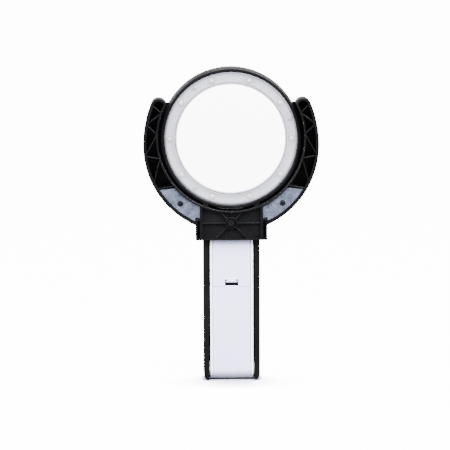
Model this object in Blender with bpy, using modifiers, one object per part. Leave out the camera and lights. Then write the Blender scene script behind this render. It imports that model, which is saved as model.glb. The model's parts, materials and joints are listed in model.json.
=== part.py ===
"""A folding LED stand magnifier, folded: a round lens head on a channel-shaped handle, a white battery
column nested in the handle and hinged at its far end, and a weighted crescent base hinged to the
column's other end, closed round the head. Metres, +Z up the handle, the underside faces -Y."""

import math

import bmesh
import bpy
from mathutils import Matrix

MM = 0.001
GAP = 0.3 * MM

# Driving dimensions: the lens head and the handle
RING_Z = 217.6 * MM
RIM_RADIUS = 63.5 * MM
RIM_WALL = 3.9 * MM
WINDOW_RADIUS = 48.3 * MM
LENS_RADIUS = 51.5 * MM
LENS_CURVE_RADIUS = 275.0 * MM
LENS_EDGE = 2.0 * MM
HANDLE_HALF_WIDTH = 25.2 * MM
CHANNEL_HALF_WIDTH = 20.5 * MM
HALF_DEPTH = 15.0 * MM
LED_COUNT = 10

# Driving dimensions: the battery column and its two hinges
COLUMN_HALF_WIDTH = 19.2 * MM
COLUMN_HALF_DEPTH = 9.0 * MM
COLUMN_WALL = 1.9 * MM
DOOR_TOP = 84.9 * MM
BASE_PIVOT_Z = 142.6 * MM

# Driving dimensions: the crescent base
CRESCENT_RADIUS = 78.2 * MM
CRESCENT_Z = 212.3 * MM
FLARE_RADIUS = 98.0 * MM
MOUTH_RADIUS = 65.2 * MM
MOUTH_Z = 218.6 * MM
TIP_X = 64.2 * MM
TIP_Z = 247.2 * MM
TIP_RADIUS = 7.1 * MM
BLOCK_HALF_WIDTH = 27.6 * MM
BLOCK_BOTTOM = 127.4 * MM
ARM_BACK = 6.0 * MM

# Depths, from the underside at -HALF_DEPTH to the user's side at +HALF_DEPTH
UNDERSIDE = -HALF_DEPTH
TOPSIDE = HALF_DEPTH
BLOCK_FLOOR_FRONT = UNDERSIDE + 3.0 * MM
BLOCK_FLOOR_BACK = BLOCK_FLOOR_FRONT + 1.8 * MM
COLUMN_FRONT = BLOCK_FLOOR_BACK + GAP
COLUMN_Y = COLUMN_FRONT + COLUMN_HALF_DEPTH
COLUMN_BACK = COLUMN_Y + COLUMN_HALF_DEPTH
CHANNEL_FLOOR_FRONT = COLUMN_BACK + GAP
CHANNEL_FLOOR_BACK = CHANNEL_FLOOR_FRONT + 1.5 * MM
COVER_SEAM = TOPSIDE - 2.7 * MM
FRAME_BACK = COVER_SEAM - GAP
RIM_FRONT = -7.0 * MM

# Heights along the handle
COLUMN_LIFT = 1.0 * MM
FOLD_PIVOT_Z = COLUMN_LIFT + COLUMN_HALF_DEPTH
SWITCH_Z = 118.0 * MM

# Pins and screws
FOLD_PIN_RADIUS = 2.5 * MM
BASE_PIN_RADIUS = 2.0 * MM
SCREW_SHANK = 1.2 * MM
SCREW_HOLE = SCREW_SHANK + GAP
SCREW_HEAD = 2.4 * MM
SCREW_SINK = SCREW_HEAD + GAP

RING_STEPS = 60
HOLE_STEPS = 16
SIDES = (("left", -1), ("right", 1))

# How an outline's own x, y and thickness are laid in the world
FRONT_PLANE = Matrix.Rotation(math.radians(90), 4, "X")
SIDE_PLANE = Matrix(((0, 0, 1, 0), (1, 0, 0, 0), (0, 1, 0, 0), (0, 0, 0, 1)))
ALONG_Y = Matrix.Rotation(math.radians(-90), 4, "X")
ALONG_X = Matrix.Rotation(math.radians(90), 4, "Y")
ALONG_Z = Matrix.Identity(4)


def clear_scene():
    for obj in list(bpy.data.objects):
        bpy.data.objects.remove(obj, do_unlink=True)


def new_collection(name):
    made = bpy.data.collections.new(name)
    bpy.context.scene.collection.children.link(made)
    return made


clear_scene()
PARTS = new_collection("folding_stand_magnifier")
CUTTERS = new_collection("cutters")


def principled(name, color, roughness, metallic=0.0, transmission=0.0):
    material = bpy.data.materials.new(name)
    material.use_nodes = True
    shader = material.node_tree.nodes["Principled BSDF"]
    shader.inputs["Base Color"].default_value = (*color, 1.0)
    shader.inputs["Roughness"].default_value = roughness
    shader.inputs["Metallic"].default_value = metallic
    shader.inputs["Transmission Weight"].default_value = transmission
    material.diffuse_color = (*color, 1.0)
    return material


BLACK = principled("black_plastic", (0.016, 0.016, 0.018), 0.45)
WHITE = principled("white_plastic", (0.80, 0.80, 0.86), 0.35)
FROSTED = principled("frosted_plastic", (0.75, 0.75, 0.80), 0.4)
CLEAR = principled("clear_acrylic", (0.96, 0.97, 0.98), 0.03, transmission=1.0)
STEEL = principled("zinc_plated_steel", (0.34, 0.35, 0.42), 0.45, metallic=0.8)
DARK_STEEL = principled("blackened_steel", (0.03, 0.03, 0.04), 0.4, metallic=0.9)
BRIGHT_STEEL = principled("bright_steel", (0.62, 0.62, 0.64), 0.25, metallic=1.0)
NICKEL = principled("nickel_plate", (0.66, 0.63, 0.56), 0.3, metallic=1.0)
BOARD = principled("white_board", (0.70, 0.72, 0.70), 0.5)
LED_BODY = principled("led_package", (0.85, 0.78, 0.45), 0.35)
SWITCH_CASE = principled("switch_case", (0.10, 0.10, 0.11), 0.5)
RED_LEAD = principled("red_lead", (0.45, 0.02, 0.02), 0.5)
BLACK_LEAD = principled("black_lead", (0.02, 0.02, 0.02), 0.5)
CELL_SLEEVE = principled("cell_sleeve", (0.05, 0.12, 0.10), 0.35)
WASHER_PLASTIC = principled("washer_plastic", (0.55, 0.55, 0.52), 0.5)


# ---------------------------------------------------------------- modelling helpers


def arc(centre, radius, start, end, count):
    """Points on a circle from the angle start to end, in degrees, both ends included."""
    angles = [math.radians(start + (end - start) * k / count) for k in range(count + 1)]
    return [(centre[0] + radius * math.cos(a), centre[1] + radius * math.sin(a)) for a in angles]


def angle_at(radius, x):
    """The angle below the horizontal at which a circle of this radius passes x, in degrees."""
    return -math.degrees(math.acos(x / radius))


def rectangle(low_u, high_u, low_v, high_v):
    return [(low_u, low_v), (high_u, low_v), (high_u, high_v), (low_u, high_v)]


def mirrored(outline, side):
    """The outline itself for side 1, or its mirror image across the centre line for side -1."""
    return [(side * u, v) for u, v in outline]


def bake(obj):
    """Turns an object into one plain, welded, outward-facing mesh at the same place."""
    graph = bpy.context.evaluated_depsgraph_get()
    mesh = bpy.data.meshes.new_from_object(obj.evaluated_get(graph))
    solid = bmesh.new()
    solid.from_mesh(mesh)
    bmesh.ops.remove_doubles(solid, verts=solid.verts, dist=1e-6)
    bmesh.ops.dissolve_limit(
        solid, angle_limit=math.radians(0.05), verts=solid.verts, edges=solid.edges
    )
    bmesh.ops.recalc_face_normals(solid, faces=solid.faces)
    solid.to_mesh(mesh)
    solid.free()
    mesh.shade_smooth()
    mesh.set_sharp_from_angle(angle=math.radians(32))
    baked = bpy.data.objects.new(obj.name, mesh)
    baked.matrix_world = obj.matrix_world.copy()
    name = obj.name
    bpy.data.objects.remove(obj, do_unlink=True)
    baked.name = name
    PARTS.objects.link(baked)
    return baked


def shown(obj, material):
    obj.data.materials.clear()
    obj.data.materials.append(material)
    return obj


def plate(name, outline, low, high, plane=FRONT_PLANE):
    """A flat outline given thickness: (x, z) from y = low to high, or in SIDE_PLANE (y, z) along x."""
    curve = bpy.data.curves.new(name, "CURVE")
    curve.dimensions = "2D"
    curve.fill_mode = "BOTH"
    curve.extrude = (high - low) / 2
    spline = curve.splines.new("POLY")
    spline.points.add(len(outline) - 1)
    for point, (u, v) in zip(spline.points, outline):
        point.co = (u, v, 0, 1)
    spline.use_cyclic_u = True
    obj = bpy.data.objects.new(name, curve)
    bpy.context.scene.collection.objects.link(obj)
    middle = (low + high) / 2
    offset = (0, middle, 0) if plane is FRONT_PLANE else (middle, 0, 0)
    obj.matrix_world = Matrix.Translation(offset) @ plane
    bpy.context.view_layer.update()
    return bake(obj)


def turned(name, profile, centre, direction, steps=RING_STEPS, closed=False):
    """A profile of (radius, height along the axis) turned about an axis through centre."""
    mesh = bpy.data.meshes.new(name)
    edges = [(k, k + 1) for k in range(len(profile) - 1)]
    if closed:
        edges.append((len(profile) - 1, 0))
    mesh.from_pydata([(radius, 0, height) for radius, height in profile], edges, [])
    obj = bpy.data.objects.new(name, mesh)
    bpy.context.scene.collection.objects.link(obj)
    screw = obj.modifiers.new("turn", "SCREW")
    screw.axis = "Z"
    screw.steps = steps
    screw.render_steps = steps
    screw.use_merge_vertices = True
    screw.merge_threshold = 0.00001
    obj.matrix_world = Matrix.Translation(centre) @ direction
    bpy.context.view_layer.update()
    return bake(obj)


def rod(name, radius, low, high, centre, direction, steps=HOLE_STEPS):
    """A plain round bar from low to high along its axis, for pins and drilled holes."""
    profile = [(0, high), (radius, high), (radius, low), (0, low)]
    return turned(name, profile, centre, direction, steps)


def stepped_rod(name, sections, centre, direction, steps=HOLE_STEPS):
    """Round bars of (radius, low, high) end to end, the first one highest."""
    profile = [(0, sections[0][2])]
    for radius, low, high in sections:
        profile += [(radius, high), (radius, low)]
    profile.append((0, sections[-1][1]))
    return turned(name, profile, centre, direction, steps)


def wall(name, start, end, thickness, low, high):
    """An upright rib between two (x, z) points, from y = low to high."""
    length = math.hypot(end[0] - start[0], end[1] - start[1])
    across = (end[1] - start[1]) / length * thickness / 2
    along = (end[0] - start[0]) / length * thickness / 2
    outline = [
        (start[0] + across, start[1] - along),
        (end[0] + across, end[1] - along),
        (end[0] - across, end[1] + along),
        (start[0] - across, start[1] + along),
    ]
    return plate(name, outline, low, high)


def combine(target, tool, operation):
    PARTS.objects.unlink(tool)
    CUTTERS.objects.link(tool)
    tool.hide_render = True
    tool.display_type = "WIRE"
    boolean = target.modifiers.new(tool.name, "BOOLEAN")
    boolean.operation = operation
    boolean.object = tool


def cut(target, tool):
    combine(target, tool, "DIFFERENCE")


def join(target, tool):
    combine(target, tool, "UNION")


def soften(obj, width, segments=2):
    """Rounds the sharp edges of a plain plate before anything is cut from it."""
    bevel = obj.modifiers.new("soft_edges", "BEVEL")
    bevel.width = width
    bevel.segments = segments
    bevel.limit_method = "ANGLE"
    bevel.angle_limit = math.radians(50)


def ring_point(radius, degrees):
    angle = math.radians(degrees)
    return radius * math.cos(angle), RING_Z + radius * math.sin(angle)


def on_ring(y=0.0):
    return (0, y, RING_Z)


# ---------------------------------------------------------------- shared outlines

CORNER_WIDTH = 4.4 * MM
CORNER_HEIGHT = 6.5 * MM
NECK_TOP = RING_Z - RIM_RADIUS + 10.0 * MM


def handle_outline():
    """The handle seen from the front: square at the head, with long round corners at the far end."""
    quarter = arc((0, 0), 1, 0, -90, 6)
    straight_half = HANDLE_HALF_WIDTH - CORNER_WIDTH
    right = [(straight_half + u * CORNER_WIDTH, CORNER_HEIGHT * (1 + v)) for u, v in quarter]
    left = [(-x, z) for x, z in reversed(right)]
    return [(HANDLE_HALF_WIDTH, NECK_TOP)] + right + left + [(-HANDLE_HALF_WIDTH, NECK_TOP)]


HANDLE_SCREW_X = 14.5 * MM
HANDLE_SCREW_HEIGHTS = (38.0 * MM, 132.0 * MM)
HANDLE_SCREWS = [(side * HANDLE_SCREW_X, z) for side in (-1, 1) for z in HANDLE_SCREW_HEIGHTS]
HANDLE_SCREW_SEAT = 9.6 * MM
FRAME_BOSS_END = FRAME_BACK - 0.6 * MM
HANDLE_END_WALL = 4.0 * MM
CAP_RADIUS = 4.0 * MM
CAP_FACE = HANDLE_HALF_WIDTH - 0.2 * MM
CAP_SEAT = CAP_FACE - 1.4 * MM

# ---------------------------------------------------------------- lens head: frame

RIM_INNER = RIM_RADIUS - RIM_WALL
COLLAR_INNER = 50.4 * MM
COLLAR_SEAT = LENS_RADIUS + GAP
COLLAR_OUTER = COLLAR_SEAT + 1.6 * MM
WEB_FRONT = -1.5 * MM
WEB_BACK = 0.3 * MM
LENS_FRONT = 4.6 * MM
LENS_BACK = LENS_FRONT + LENS_EDGE
BOARD_SCREW_RADIUS = 55.5 * MM
BOARD_SCREW_ANGLES = (18, 126, 234)
LED_RADIUS = 54.4 * MM
LED_HALF = 2.4 * MM


def rim_profile():
    """The head's ring cut through: outer wall, web for the board, and the collar that seats the lens."""
    round_front = arc((RIM_RADIUS - MM, RIM_FRONT + MM), MM, 0, -90, 3)
    return round_front + [
        (RIM_INNER, RIM_FRONT),
        (RIM_INNER, WEB_FRONT),
        (COLLAR_INNER, WEB_FRONT),
        (COLLAR_INNER, LENS_FRONT - 0.6 * MM),
        (COLLAR_SEAT, LENS_FRONT - 0.6 * MM),
        (COLLAR_SEAT, LENS_BACK + 1.4 * MM),
        (COLLAR_OUTER, LENS_BACK + 1.4 * MM),
        (COLLAR_OUTER, WEB_BACK),
        (RIM_INNER, WEB_BACK),
        (RIM_INNER, FRAME_BACK),
        (RIM_RADIUS, FRAME_BACK),
    ]


def head_frame():
    frame = plate("head_frame", handle_outline(), COLUMN_FRONT, FRAME_BACK)
    trough = rectangle(-CHANNEL_HALF_WIDTH, CHANNEL_HALF_WIDTH, -MM, NECK_TOP + MM)
    cut(frame, plate("channel_trough", trough, COLUMN_FRONT - MM, CHANNEL_FLOOR_FRONT))
    bay = rectangle(-CHANNEL_HALF_WIDTH, CHANNEL_HALF_WIDTH, HANDLE_END_WALL, NECK_TOP + MM)
    cut(frame, plate("wiring_bay", bay, CHANNEL_FLOOR_BACK, FRAME_BACK + MM))
    bore_ends = (COLUMN_FRONT - MM, FRAME_BACK + MM)
    cut(frame, rod("ring_bore", RIM_RADIUS - MM, *bore_ends, on_ring(), ALONG_Y, RING_STEPS))
    join(frame, turned("rim", rim_profile(), on_ring(), ALONG_Y, closed=True))
    lead_way = rectangle(-4.0 * MM, 4.0 * MM, NECK_TOP - 12.0 * MM, NECK_TOP - 4.0 * MM)
    cut(frame, plate("lead_way", lead_way, CHANNEL_FLOOR_BACK, FRAME_BACK + MM))
    pin_hole = FOLD_PIN_RADIUS + GAP
    fold_centre = (0, COLUMN_Y, FOLD_PIVOT_Z)
    cut(frame, rod("fold_pin_hole", pin_hole, -30 * MM, 30 * MM, fold_centre, ALONG_X))
    for name, side in SIDES:
        low, high = sorted((side * (CAP_SEAT - GAP), side * (HANDLE_HALF_WIDTH + MM)))
        cut(frame, rod(f"cap_seat_{name}", CAP_RADIUS + GAP, low, high, fold_centre, ALONG_X, 24))
    for k, (x, z) in enumerate(HANDLE_SCREWS):
        boss_ends = (CHANNEL_FLOOR_BACK - 0.5 * MM, FRAME_BOSS_END)
        join(frame, rod(f"frame_boss_{k}", 4.0 * MM, *boss_ends, (x, 0, z), ALONG_Y))
        steps = [
            (SCREW_HOLE, HANDLE_SCREW_SEAT, FRAME_BACK),
            (SCREW_SINK, CHANNEL_FLOOR_FRONT - MM, HANDLE_SCREW_SEAT),
        ]
        cut(frame, stepped_rod(f"frame_screw_way_{k}", steps, (x, 0, z), ALONG_Y))
    for degrees in BOARD_SCREW_ANGLES:
        x, z = ring_point(BOARD_SCREW_RADIUS, degrees)
        way = rod(f"board_screw_way_{degrees}", 1.3 * MM, -4 * MM, 3 * MM, (x, 0, z), ALONG_Y, 12)
        cut(frame, way)
    return shown(frame, BLACK)


# ---------------------------------------------------------------- lens head: cover on the user's side

SWITCH_TRAVEL = 4.0 * MM
KNOB_HALF = (2.4 * MM, 3.4 * MM)
SWITCH_RECESS_FLOOR = TOPSIDE - 0.9 * MM
COVER_INNER_FACE = TOPSIDE - 1.8 * MM


def cover_ring_profile():
    """Flat ring over the lens rim, with a lip that reaches down to hold the lens on its collar."""
    lip_inner = COLLAR_INNER - 0.2 * MM
    lip_outer = COLLAR_SEAT - 0.4 * MM
    lip_end = LENS_BACK + 0.6 * MM
    round_back = arc((RIM_RADIUS - 1.2 * MM, TOPSIDE - 1.2 * MM), 1.2 * MM, 0, 90, 3)
    return [(RIM_RADIUS, COVER_SEAM)] + round_back + [
        (lip_inner + 1.6 * MM, TOPSIDE),
        (lip_inner, TOPSIDE - 1.2 * MM),
        (lip_inner, lip_end),
        (lip_outer, lip_end),
        (lip_outer, COVER_SEAM),
    ]


def slot_outline(half_width, low, high):
    """A slot with round ends, standing upright."""
    top = arc((0, high - half_width), half_width, 0, 180, 8)
    bottom = arc((0, low + half_width), half_width, 180, 360, 8)
    return top + bottom


def head_cover():
    cover = plate("head_cover", handle_outline(), COVER_SEAM, TOPSIDE)
    soften(cover, 1.0 * MM)
    bore_ends = (COVER_SEAM - MM, TOPSIDE + MM)
    cut(cover, rod("cover_ring_bore", RIM_RADIUS - 3 * MM, *bore_ends, on_ring(), ALONG_Y, RING_STEPS))
    join(cover, turned("cover_ring", cover_ring_profile(), on_ring(), ALONG_Y, closed=True))
    pocket_top = RING_Z - RIM_RADIUS - 2 * MM
    pocket = rectangle(-CHANNEL_HALF_WIDTH, CHANNEL_HALF_WIDTH, HANDLE_END_WALL, pocket_top)
    cut(cover, plate("cover_pocket", pocket, COVER_SEAM - MM, COVER_INNER_FACE))
    recess = slot_outline(6.0 * MM, SWITCH_Z - 12 * MM, SWITCH_Z + 12 * MM)
    cut(cover, plate("thumb_recess", recess, SWITCH_RECESS_FLOOR, TOPSIDE + MM))
    half_slot = KNOB_HALF[1] + SWITCH_TRAVEL / 2 + 0.4 * MM
    slot = rectangle(-1.8 * MM, 1.8 * MM, SWITCH_Z - half_slot + 1.4 * MM, SWITCH_Z + half_slot - 1.4 * MM)
    cut(cover, plate("switch_slot", slot, COVER_INNER_FACE - MM, TOPSIDE))
    for k, (x, z) in enumerate(HANDLE_SCREWS):
        boss_ends = (FRAME_BOSS_END + GAP, COVER_INNER_FACE + 0.5 * MM)
        join(cover, rod(f"cover_boss_{k}", 3.2 * MM, *boss_ends, (x, 0, z), ALONG_Y))
        hole_ends = (FRAME_BOSS_END, TOPSIDE - MM)
        cut(cover, rod(f"cover_screw_hole_{k}", SCREW_HOLE, *hole_ends, (x, 0, z), ALONG_Y))
    return shown(cover, BLACK)


# ---------------------------------------------------------------- lens head: optics and light


def lens():
    """A double-convex lens with a thin straight edge."""
    rise = LENS_CURVE_RADIUS - math.sqrt(LENS_CURVE_RADIUS**2 - LENS_RADIUS**2)
    count = 5
    radii = [LENS_RADIUS * k / count for k in range(count + 1)]
    drop = [LENS_CURVE_RADIUS - math.sqrt(LENS_CURVE_RADIUS**2 - r**2) for r in radii]
    back = [(r, LENS_BACK + rise - d) for r, d in zip(radii, drop)]
    front = [(r, LENS_FRONT - rise + d) for r, d in zip(radii, drop)]
    return shown(turned("lens", back + front[::-1], on_ring(), ALONG_Y, 48), CLEAR)


def led_cover():
    """A frosted ring in the rim, with a skirt at each edge that closes the space over the LEDs."""
    outer = RIM_INNER - GAP
    skirt = 1.2 * MM
    face = RIM_FRONT + 0.2 * MM
    inside = face + 1.2 * MM
    foot = WEB_FRONT - GAP
    inner_foot = foot - 0.2 * MM
    profile = [
        (outer, face + 0.4 * MM),
        (outer, foot),
        (outer - skirt, foot),
        (outer - skirt, inside),
        (WINDOW_RADIUS + skirt, inside),
        (WINDOW_RADIUS + skirt, inner_foot),
        (WINDOW_RADIUS, inner_foot),
        (WINDOW_RADIUS, face + 0.3 * MM),
        (WINDOW_RADIUS + 0.4 * MM, face),
        (outer - 0.4 * MM, face),
    ]
    return shown(turned("led_cover", profile, on_ring(), ALONG_Y, closed=True), FROSTED)


BOARD_BACK = WEB_FRONT - GAP
BOARD_FRONT = BOARD_BACK - 1.6 * MM


def led_board():
    inner = WINDOW_RADIUS + 1.9 * MM
    outer = RIM_INNER - 1.9 * MM
    profile = [(outer, BOARD_BACK), (outer, BOARD_FRONT), (inner, BOARD_FRONT), (inner, BOARD_BACK)]
    board = turned("led_board", profile, on_ring(), ALONG_Y, 48, closed=True)
    for degrees in BOARD_SCREW_ANGLES:
        x, z = ring_point(BOARD_SCREW_RADIUS, degrees)
        cut(board, rod(f"board_hole_{degrees}", 1.3 * MM, -5 * MM, 0, (x, 0, z), ALONG_Y, 12))
    return shown(board, BOARD)


def leds():
    """Ten surface-mounted LEDs evenly round the board, each a square package under a low dome."""
    back = BOARD_FRONT - GAP
    for k in range(LED_COUNT):
        x, z = ring_point(LED_RADIUS, 360 * k / LED_COUNT)
        outline = rectangle(-LED_HALF, LED_HALF, -LED_HALF, LED_HALF)
        package = plate(f"led_{k + 1:02d}", outline, back - 0.8 * MM, back)
        package.matrix_world = Matrix.Translation((x, 0, z)) @ package.matrix_world
        dome_profile = [(0, -0.6 * MM), (2.0 * MM, -0.6 * MM), (1.7 * MM, -1.1 * MM), (0, -1.3 * MM)]
        dome = turned(f"led_dome_{k}", dome_profile, (x, back, z), ALONG_Y, 12)
        join(package, dome)
        shown(package, LED_BODY)


def board_screws():
    seat = BOARD_FRONT - GAP
    for k, degrees in enumerate(BOARD_SCREW_ANGLES):
        x, z = ring_point(BOARD_SCREW_RADIUS, degrees)
        steps = [(1.0 * MM, seat, WEB_BACK), (2.0 * MM, seat - 0.9 * MM, seat)]
        shown(stepped_rod(f"board_screw_{k + 1}", steps, (x, 0, z), ALONG_Y, 16), BRIGHT_STEEL)


def handle_screws():
    for k, (x, z) in enumerate(HANDLE_SCREWS):
        seat = HANDLE_SCREW_SEAT - GAP
        steps = [(SCREW_SHANK, seat, TOPSIDE - 1.4 * MM), (SCREW_HEAD, seat - 0.8 * MM, seat)]
        shown(stepped_rod(f"handle_screw_{k + 1}", steps, (x, 0, z), ALONG_Y, 16), BRIGHT_STEEL)


# ---------------------------------------------------------------- lens head: switch and leads

SWITCH_BODY_WIDTH = 10.0 * MM
SWITCH_BODY_LOW = SWITCH_Z - 8.0 * MM
SWITCH_BODY_HIGH = SWITCH_Z + 8.0 * MM
SWITCH_BODY_BACK = COVER_INNER_FACE - 1.3 * MM


def switch_body():
    half = SWITCH_BODY_WIDTH / 2
    outline = rectangle(-half, half, SWITCH_BODY_LOW, SWITCH_BODY_HIGH)
    return shown(plate("switch_body", outline, CHANNEL_FLOOR_BACK + GAP, SWITCH_BODY_BACK), SWITCH_CASE)


def switch_knob():
    """The thumb piece: a ribbed button outside the cover, a stem in the slot and a foot inside."""
    low = SWITCH_Z - KNOB_HALF[1] - SWITCH_TRAVEL / 2
    high = low + 2 * KNOB_HALF[1]
    middle = (low + high) / 2
    button = rectangle(-KNOB_HALF[0], KNOB_HALF[0], low, high)
    knob = plate("switch_knob", button, SWITCH_RECESS_FLOOR + 0.2 * MM, TOPSIDE - 0.1 * MM)
    stem = rectangle(-1.4 * MM, 1.4 * MM, middle - 1.6 * MM, middle + 1.6 * MM)
    join(knob, plate("knob_stem", stem, COVER_INNER_FACE - 0.6 * MM, SWITCH_RECESS_FLOOR + 0.4 * MM))
    foot = rectangle(-3.0 * MM, 3.0 * MM, middle - 2.6 * MM, middle + 2.6 * MM)
    join(knob, plate("knob_foot", foot, COVER_INNER_FACE - 1.0 * MM, COVER_INNER_FACE - GAP))
    for k in (-1, 0, 1):
        z = middle + k * 2.0 * MM
        groove = rectangle(-4 * MM, 4 * MM, z - 0.35 * MM, z + 0.35 * MM)
        cut(knob, plate(f"knob_groove_{k}", groove, TOPSIDE - 0.4 * MM, TOPSIDE + MM))
    return shown(knob, SWITCH_CASE)


def lead(name, x, material):
    """An insulated wire from the switch up the neck and through the ring's web to the board."""
    bay_y = CHANNEL_FLOOR_BACK + 0.9 * MM
    start_z = SWITCH_BODY_HIGH + GAP
    ring_z = RING_Z - 57.0 * MM
    bend = 2.0 * MM
    down = arc((bay_y - bend, ring_z - bend), bend, 0, 90, 5)
    points = [(x, bay_y, start_z)]
    points += [(x, y, z) for y, z in down]
    points.append((x, WEB_BACK + GAP, ring_z))
    curve = bpy.data.curves.new(name, "CURVE")
    curve.dimensions = "3D"
    curve.bevel_depth = 0.6 * MM
    curve.bevel_resolution = 2
    curve.use_fill_caps = True
    spline = curve.splines.new("POLY")
    spline.points.add(len(points) - 1)
    for point, place in zip(spline.points, points):
        point.co = (*place, 1)
    obj = bpy.data.objects.new(name, curve)
    bpy.context.scene.collection.objects.link(obj)
    bpy.context.view_layer.update()
    return shown(bake(obj), material)


# ---------------------------------------------------------------- fold hinge at the handle's far end


def fold_hinge():
    centre = (0, COLUMN_Y, FOLD_PIVOT_Z)
    pin_half = CAP_SEAT - 1.8 * MM
    shown(rod("fold_pin", FOLD_PIN_RADIUS, -pin_half, pin_half, centre, ALONG_X, 24), BRIGHT_STEEL)
    for name, side in SIDES:
        cap_profile = [
            (0, CAP_FACE),
            (CAP_RADIUS - 0.4 * MM, CAP_FACE),
            (CAP_RADIUS, CAP_FACE - 0.4 * MM),
            (CAP_RADIUS, CAP_SEAT),
            (FOLD_PIN_RADIUS, CAP_SEAT),
            (FOLD_PIN_RADIUS, pin_half + GAP),
            (0, pin_half + GAP),
        ]
        turn = ALONG_X if side == 1 else Matrix.Rotation(math.radians(180), 4, "Z") @ ALONG_X
        shown(turned(f"pivot_cap_{name}", cap_profile, centre, turn, 24), BLACK)
        inner = FOLD_PIN_RADIUS + GAP
        washer_low = COLUMN_HALF_WIDTH + GAP
        washer_high = CHANNEL_HALF_WIDTH - GAP
        washer = [(7.0 * MM, washer_high), (7.0 * MM, washer_low), (inner, washer_low), (inner, washer_high)]
        shown(turned(f"friction_washer_{name}", washer, centre, turn, 24, closed=True), WASHER_PLASTIC)


# ---------------------------------------------------------------- battery column

BAY_HALF_WIDTH = COLUMN_HALF_WIDTH - COLUMN_WALL
PANEL_HALF_WIDTH = BAY_HALF_WIDTH - GAP
PANEL = 1.8 * MM
BAY_BACK = COLUMN_BACK - 1.8 * MM
BAY_BOTTOM = 17.5 * MM
BAY_TOP = 129.5 * MM
COLUMN_STEP_Z = 131.0 * MM
SHOULDER_Z = BASE_PIVOT_Z - 6.5 * MM
TONGUE_RADIUS = 7.0 * MM
TONGUE_HALF_WIDTH = 12.2 * MM
DOOR_END_ANGLE = 236
COLUMN_SCREWS = (100.0 * MM, 122.0 * MM)
CELL_RADIUS = 5.15 * MM
CELL_PITCH = 11.2 * MM
CELL_Y = COLUMN_Y - 0.3 * MM
CELL_BOTTOM = 25.0 * MM
CELL_LENGTH = 43.7 * MM
DIVIDER_Z = 76.0 * MM
DIVIDER = 1.2 * MM
FOLD_CENTRE = (COLUMN_Y, FOLD_PIVOT_Z)
BASE_CENTRE = (COLUMN_Y, BASE_PIVOT_Z)
FRONT_STEP = COLUMN_Y - TONGUE_RADIUS


def column_side_outline():
    """The column seen from the side: a round end on the fold pivot, a step and a shoulder at the top."""
    round_end = arc(FOLD_CENTRE, COLUMN_HALF_DEPTH, 180, 360, 16)
    top = [
        (COLUMN_BACK, SHOULDER_Z),
        (FRONT_STEP, SHOULDER_Z),
        (FRONT_STEP, COLUMN_STEP_Z),
        (COLUMN_FRONT, COLUMN_STEP_Z),
    ]
    return round_end + top


def tongue_outline():
    round_top = arc(BASE_CENTRE, TONGUE_RADIUS, 0, 180, 12)
    return round_top + [(FRONT_STEP, BAY_TOP + MM), (COLUMN_Y + TONGUE_RADIUS, BAY_TOP + MM)]


def door_seat_outline():
    """The space the door's front and its curved end take out of the column's round end."""
    beyond = COLUMN_FRONT - 2 * MM
    outer = arc(FOLD_CENTRE, COLUMN_HALF_DEPTH + 2 * MM, 180, 240, 6)
    inner = arc(FOLD_CENTRE, COLUMN_HALF_DEPTH - PANEL - GAP, 240, 180, 6)
    face = COLUMN_FRONT + PANEL + GAP
    return [(beyond, BAY_BOTTOM + MM)] + outer + inner + [(face, BAY_BOTTOM + MM)]


def column_body():
    half = COLUMN_HALF_WIDTH
    body = plate("column_body", column_side_outline(), -half, half, SIDE_PLANE)
    tongue = plate("tongue", tongue_outline(), -TONGUE_HALF_WIDTH, TONGUE_HALF_WIDTH, SIDE_PLANE)
    join(body, tongue)
    bay = rectangle(COLUMN_FRONT - 2 * MM, BAY_BACK, BAY_BOTTOM, BAY_TOP)
    cut(body, plate("battery_bay", bay, -BAY_HALF_WIDTH, BAY_HALF_WIDTH, SIDE_PLANE))
    cut(body, plate("door_seat", door_seat_outline(), -BAY_HALF_WIDTH, BAY_HALF_WIDTH, SIDE_PLANE))
    seat = rectangle(COLUMN_FRONT - 2 * MM, FRONT_STEP + 0.1 * MM, BAY_BOTTOM, COLUMN_STEP_Z + MM)
    cut(body, plate("panel_seat", seat, -BAY_HALF_WIDTH, BAY_HALF_WIDTH, SIDE_PLANE))
    cross = rectangle(COLUMN_FRONT + PANEL + GAP, BAY_BACK + 0.5 * MM, DIVIDER_Z, DIVIDER_Z + DIVIDER)
    overlap = BAY_HALF_WIDTH + 0.5 * MM
    join(body, plate("bay_divider", cross, -overlap, overlap, SIDE_PLANE))
    for side in (-1, 1):
        x = side * CELL_PITCH / 2
        cradle = rectangle(x - 0.5 * MM, x + 0.5 * MM, CELL_BOTTOM + 2 * MM, CELL_BOTTOM + 41 * MM)
        join(body, plate(f"cradle_rib_{side}", cradle, CELL_Y + 2.8 * MM, BAY_BACK + 0.5 * MM))
    fold_hole = FOLD_PIN_RADIUS + GAP
    cut(body, rod("column_fold_hole", fold_hole, -25 * MM, 25 * MM, (0, *FOLD_CENTRE), ALONG_X))
    base_hole = BASE_PIN_RADIUS + GAP
    cut(body, rod("column_base_hole", base_hole, -15 * MM, 15 * MM, (0, *BASE_CENTRE), ALONG_X))
    for z in COLUMN_SCREWS:
        seat = COLUMN_BACK - 1.0 * MM
        steps = [(SCREW_SINK, seat, COLUMN_BACK + MM), (SCREW_HOLE, BAY_BACK - MM, seat)]
        name = f"column_screw_way_{round(z / MM)}"
        cut(body, stepped_rod(name, steps, (0, 0, z), ALONG_Y))
    return shown(body, WHITE)


NOTCH_HALF = 6.0 * MM
NOTCH_TOP = 88.4 * MM
RAMP_TOP = 94.7 * MM
RAMP_HALF = 5.5 * MM


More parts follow.
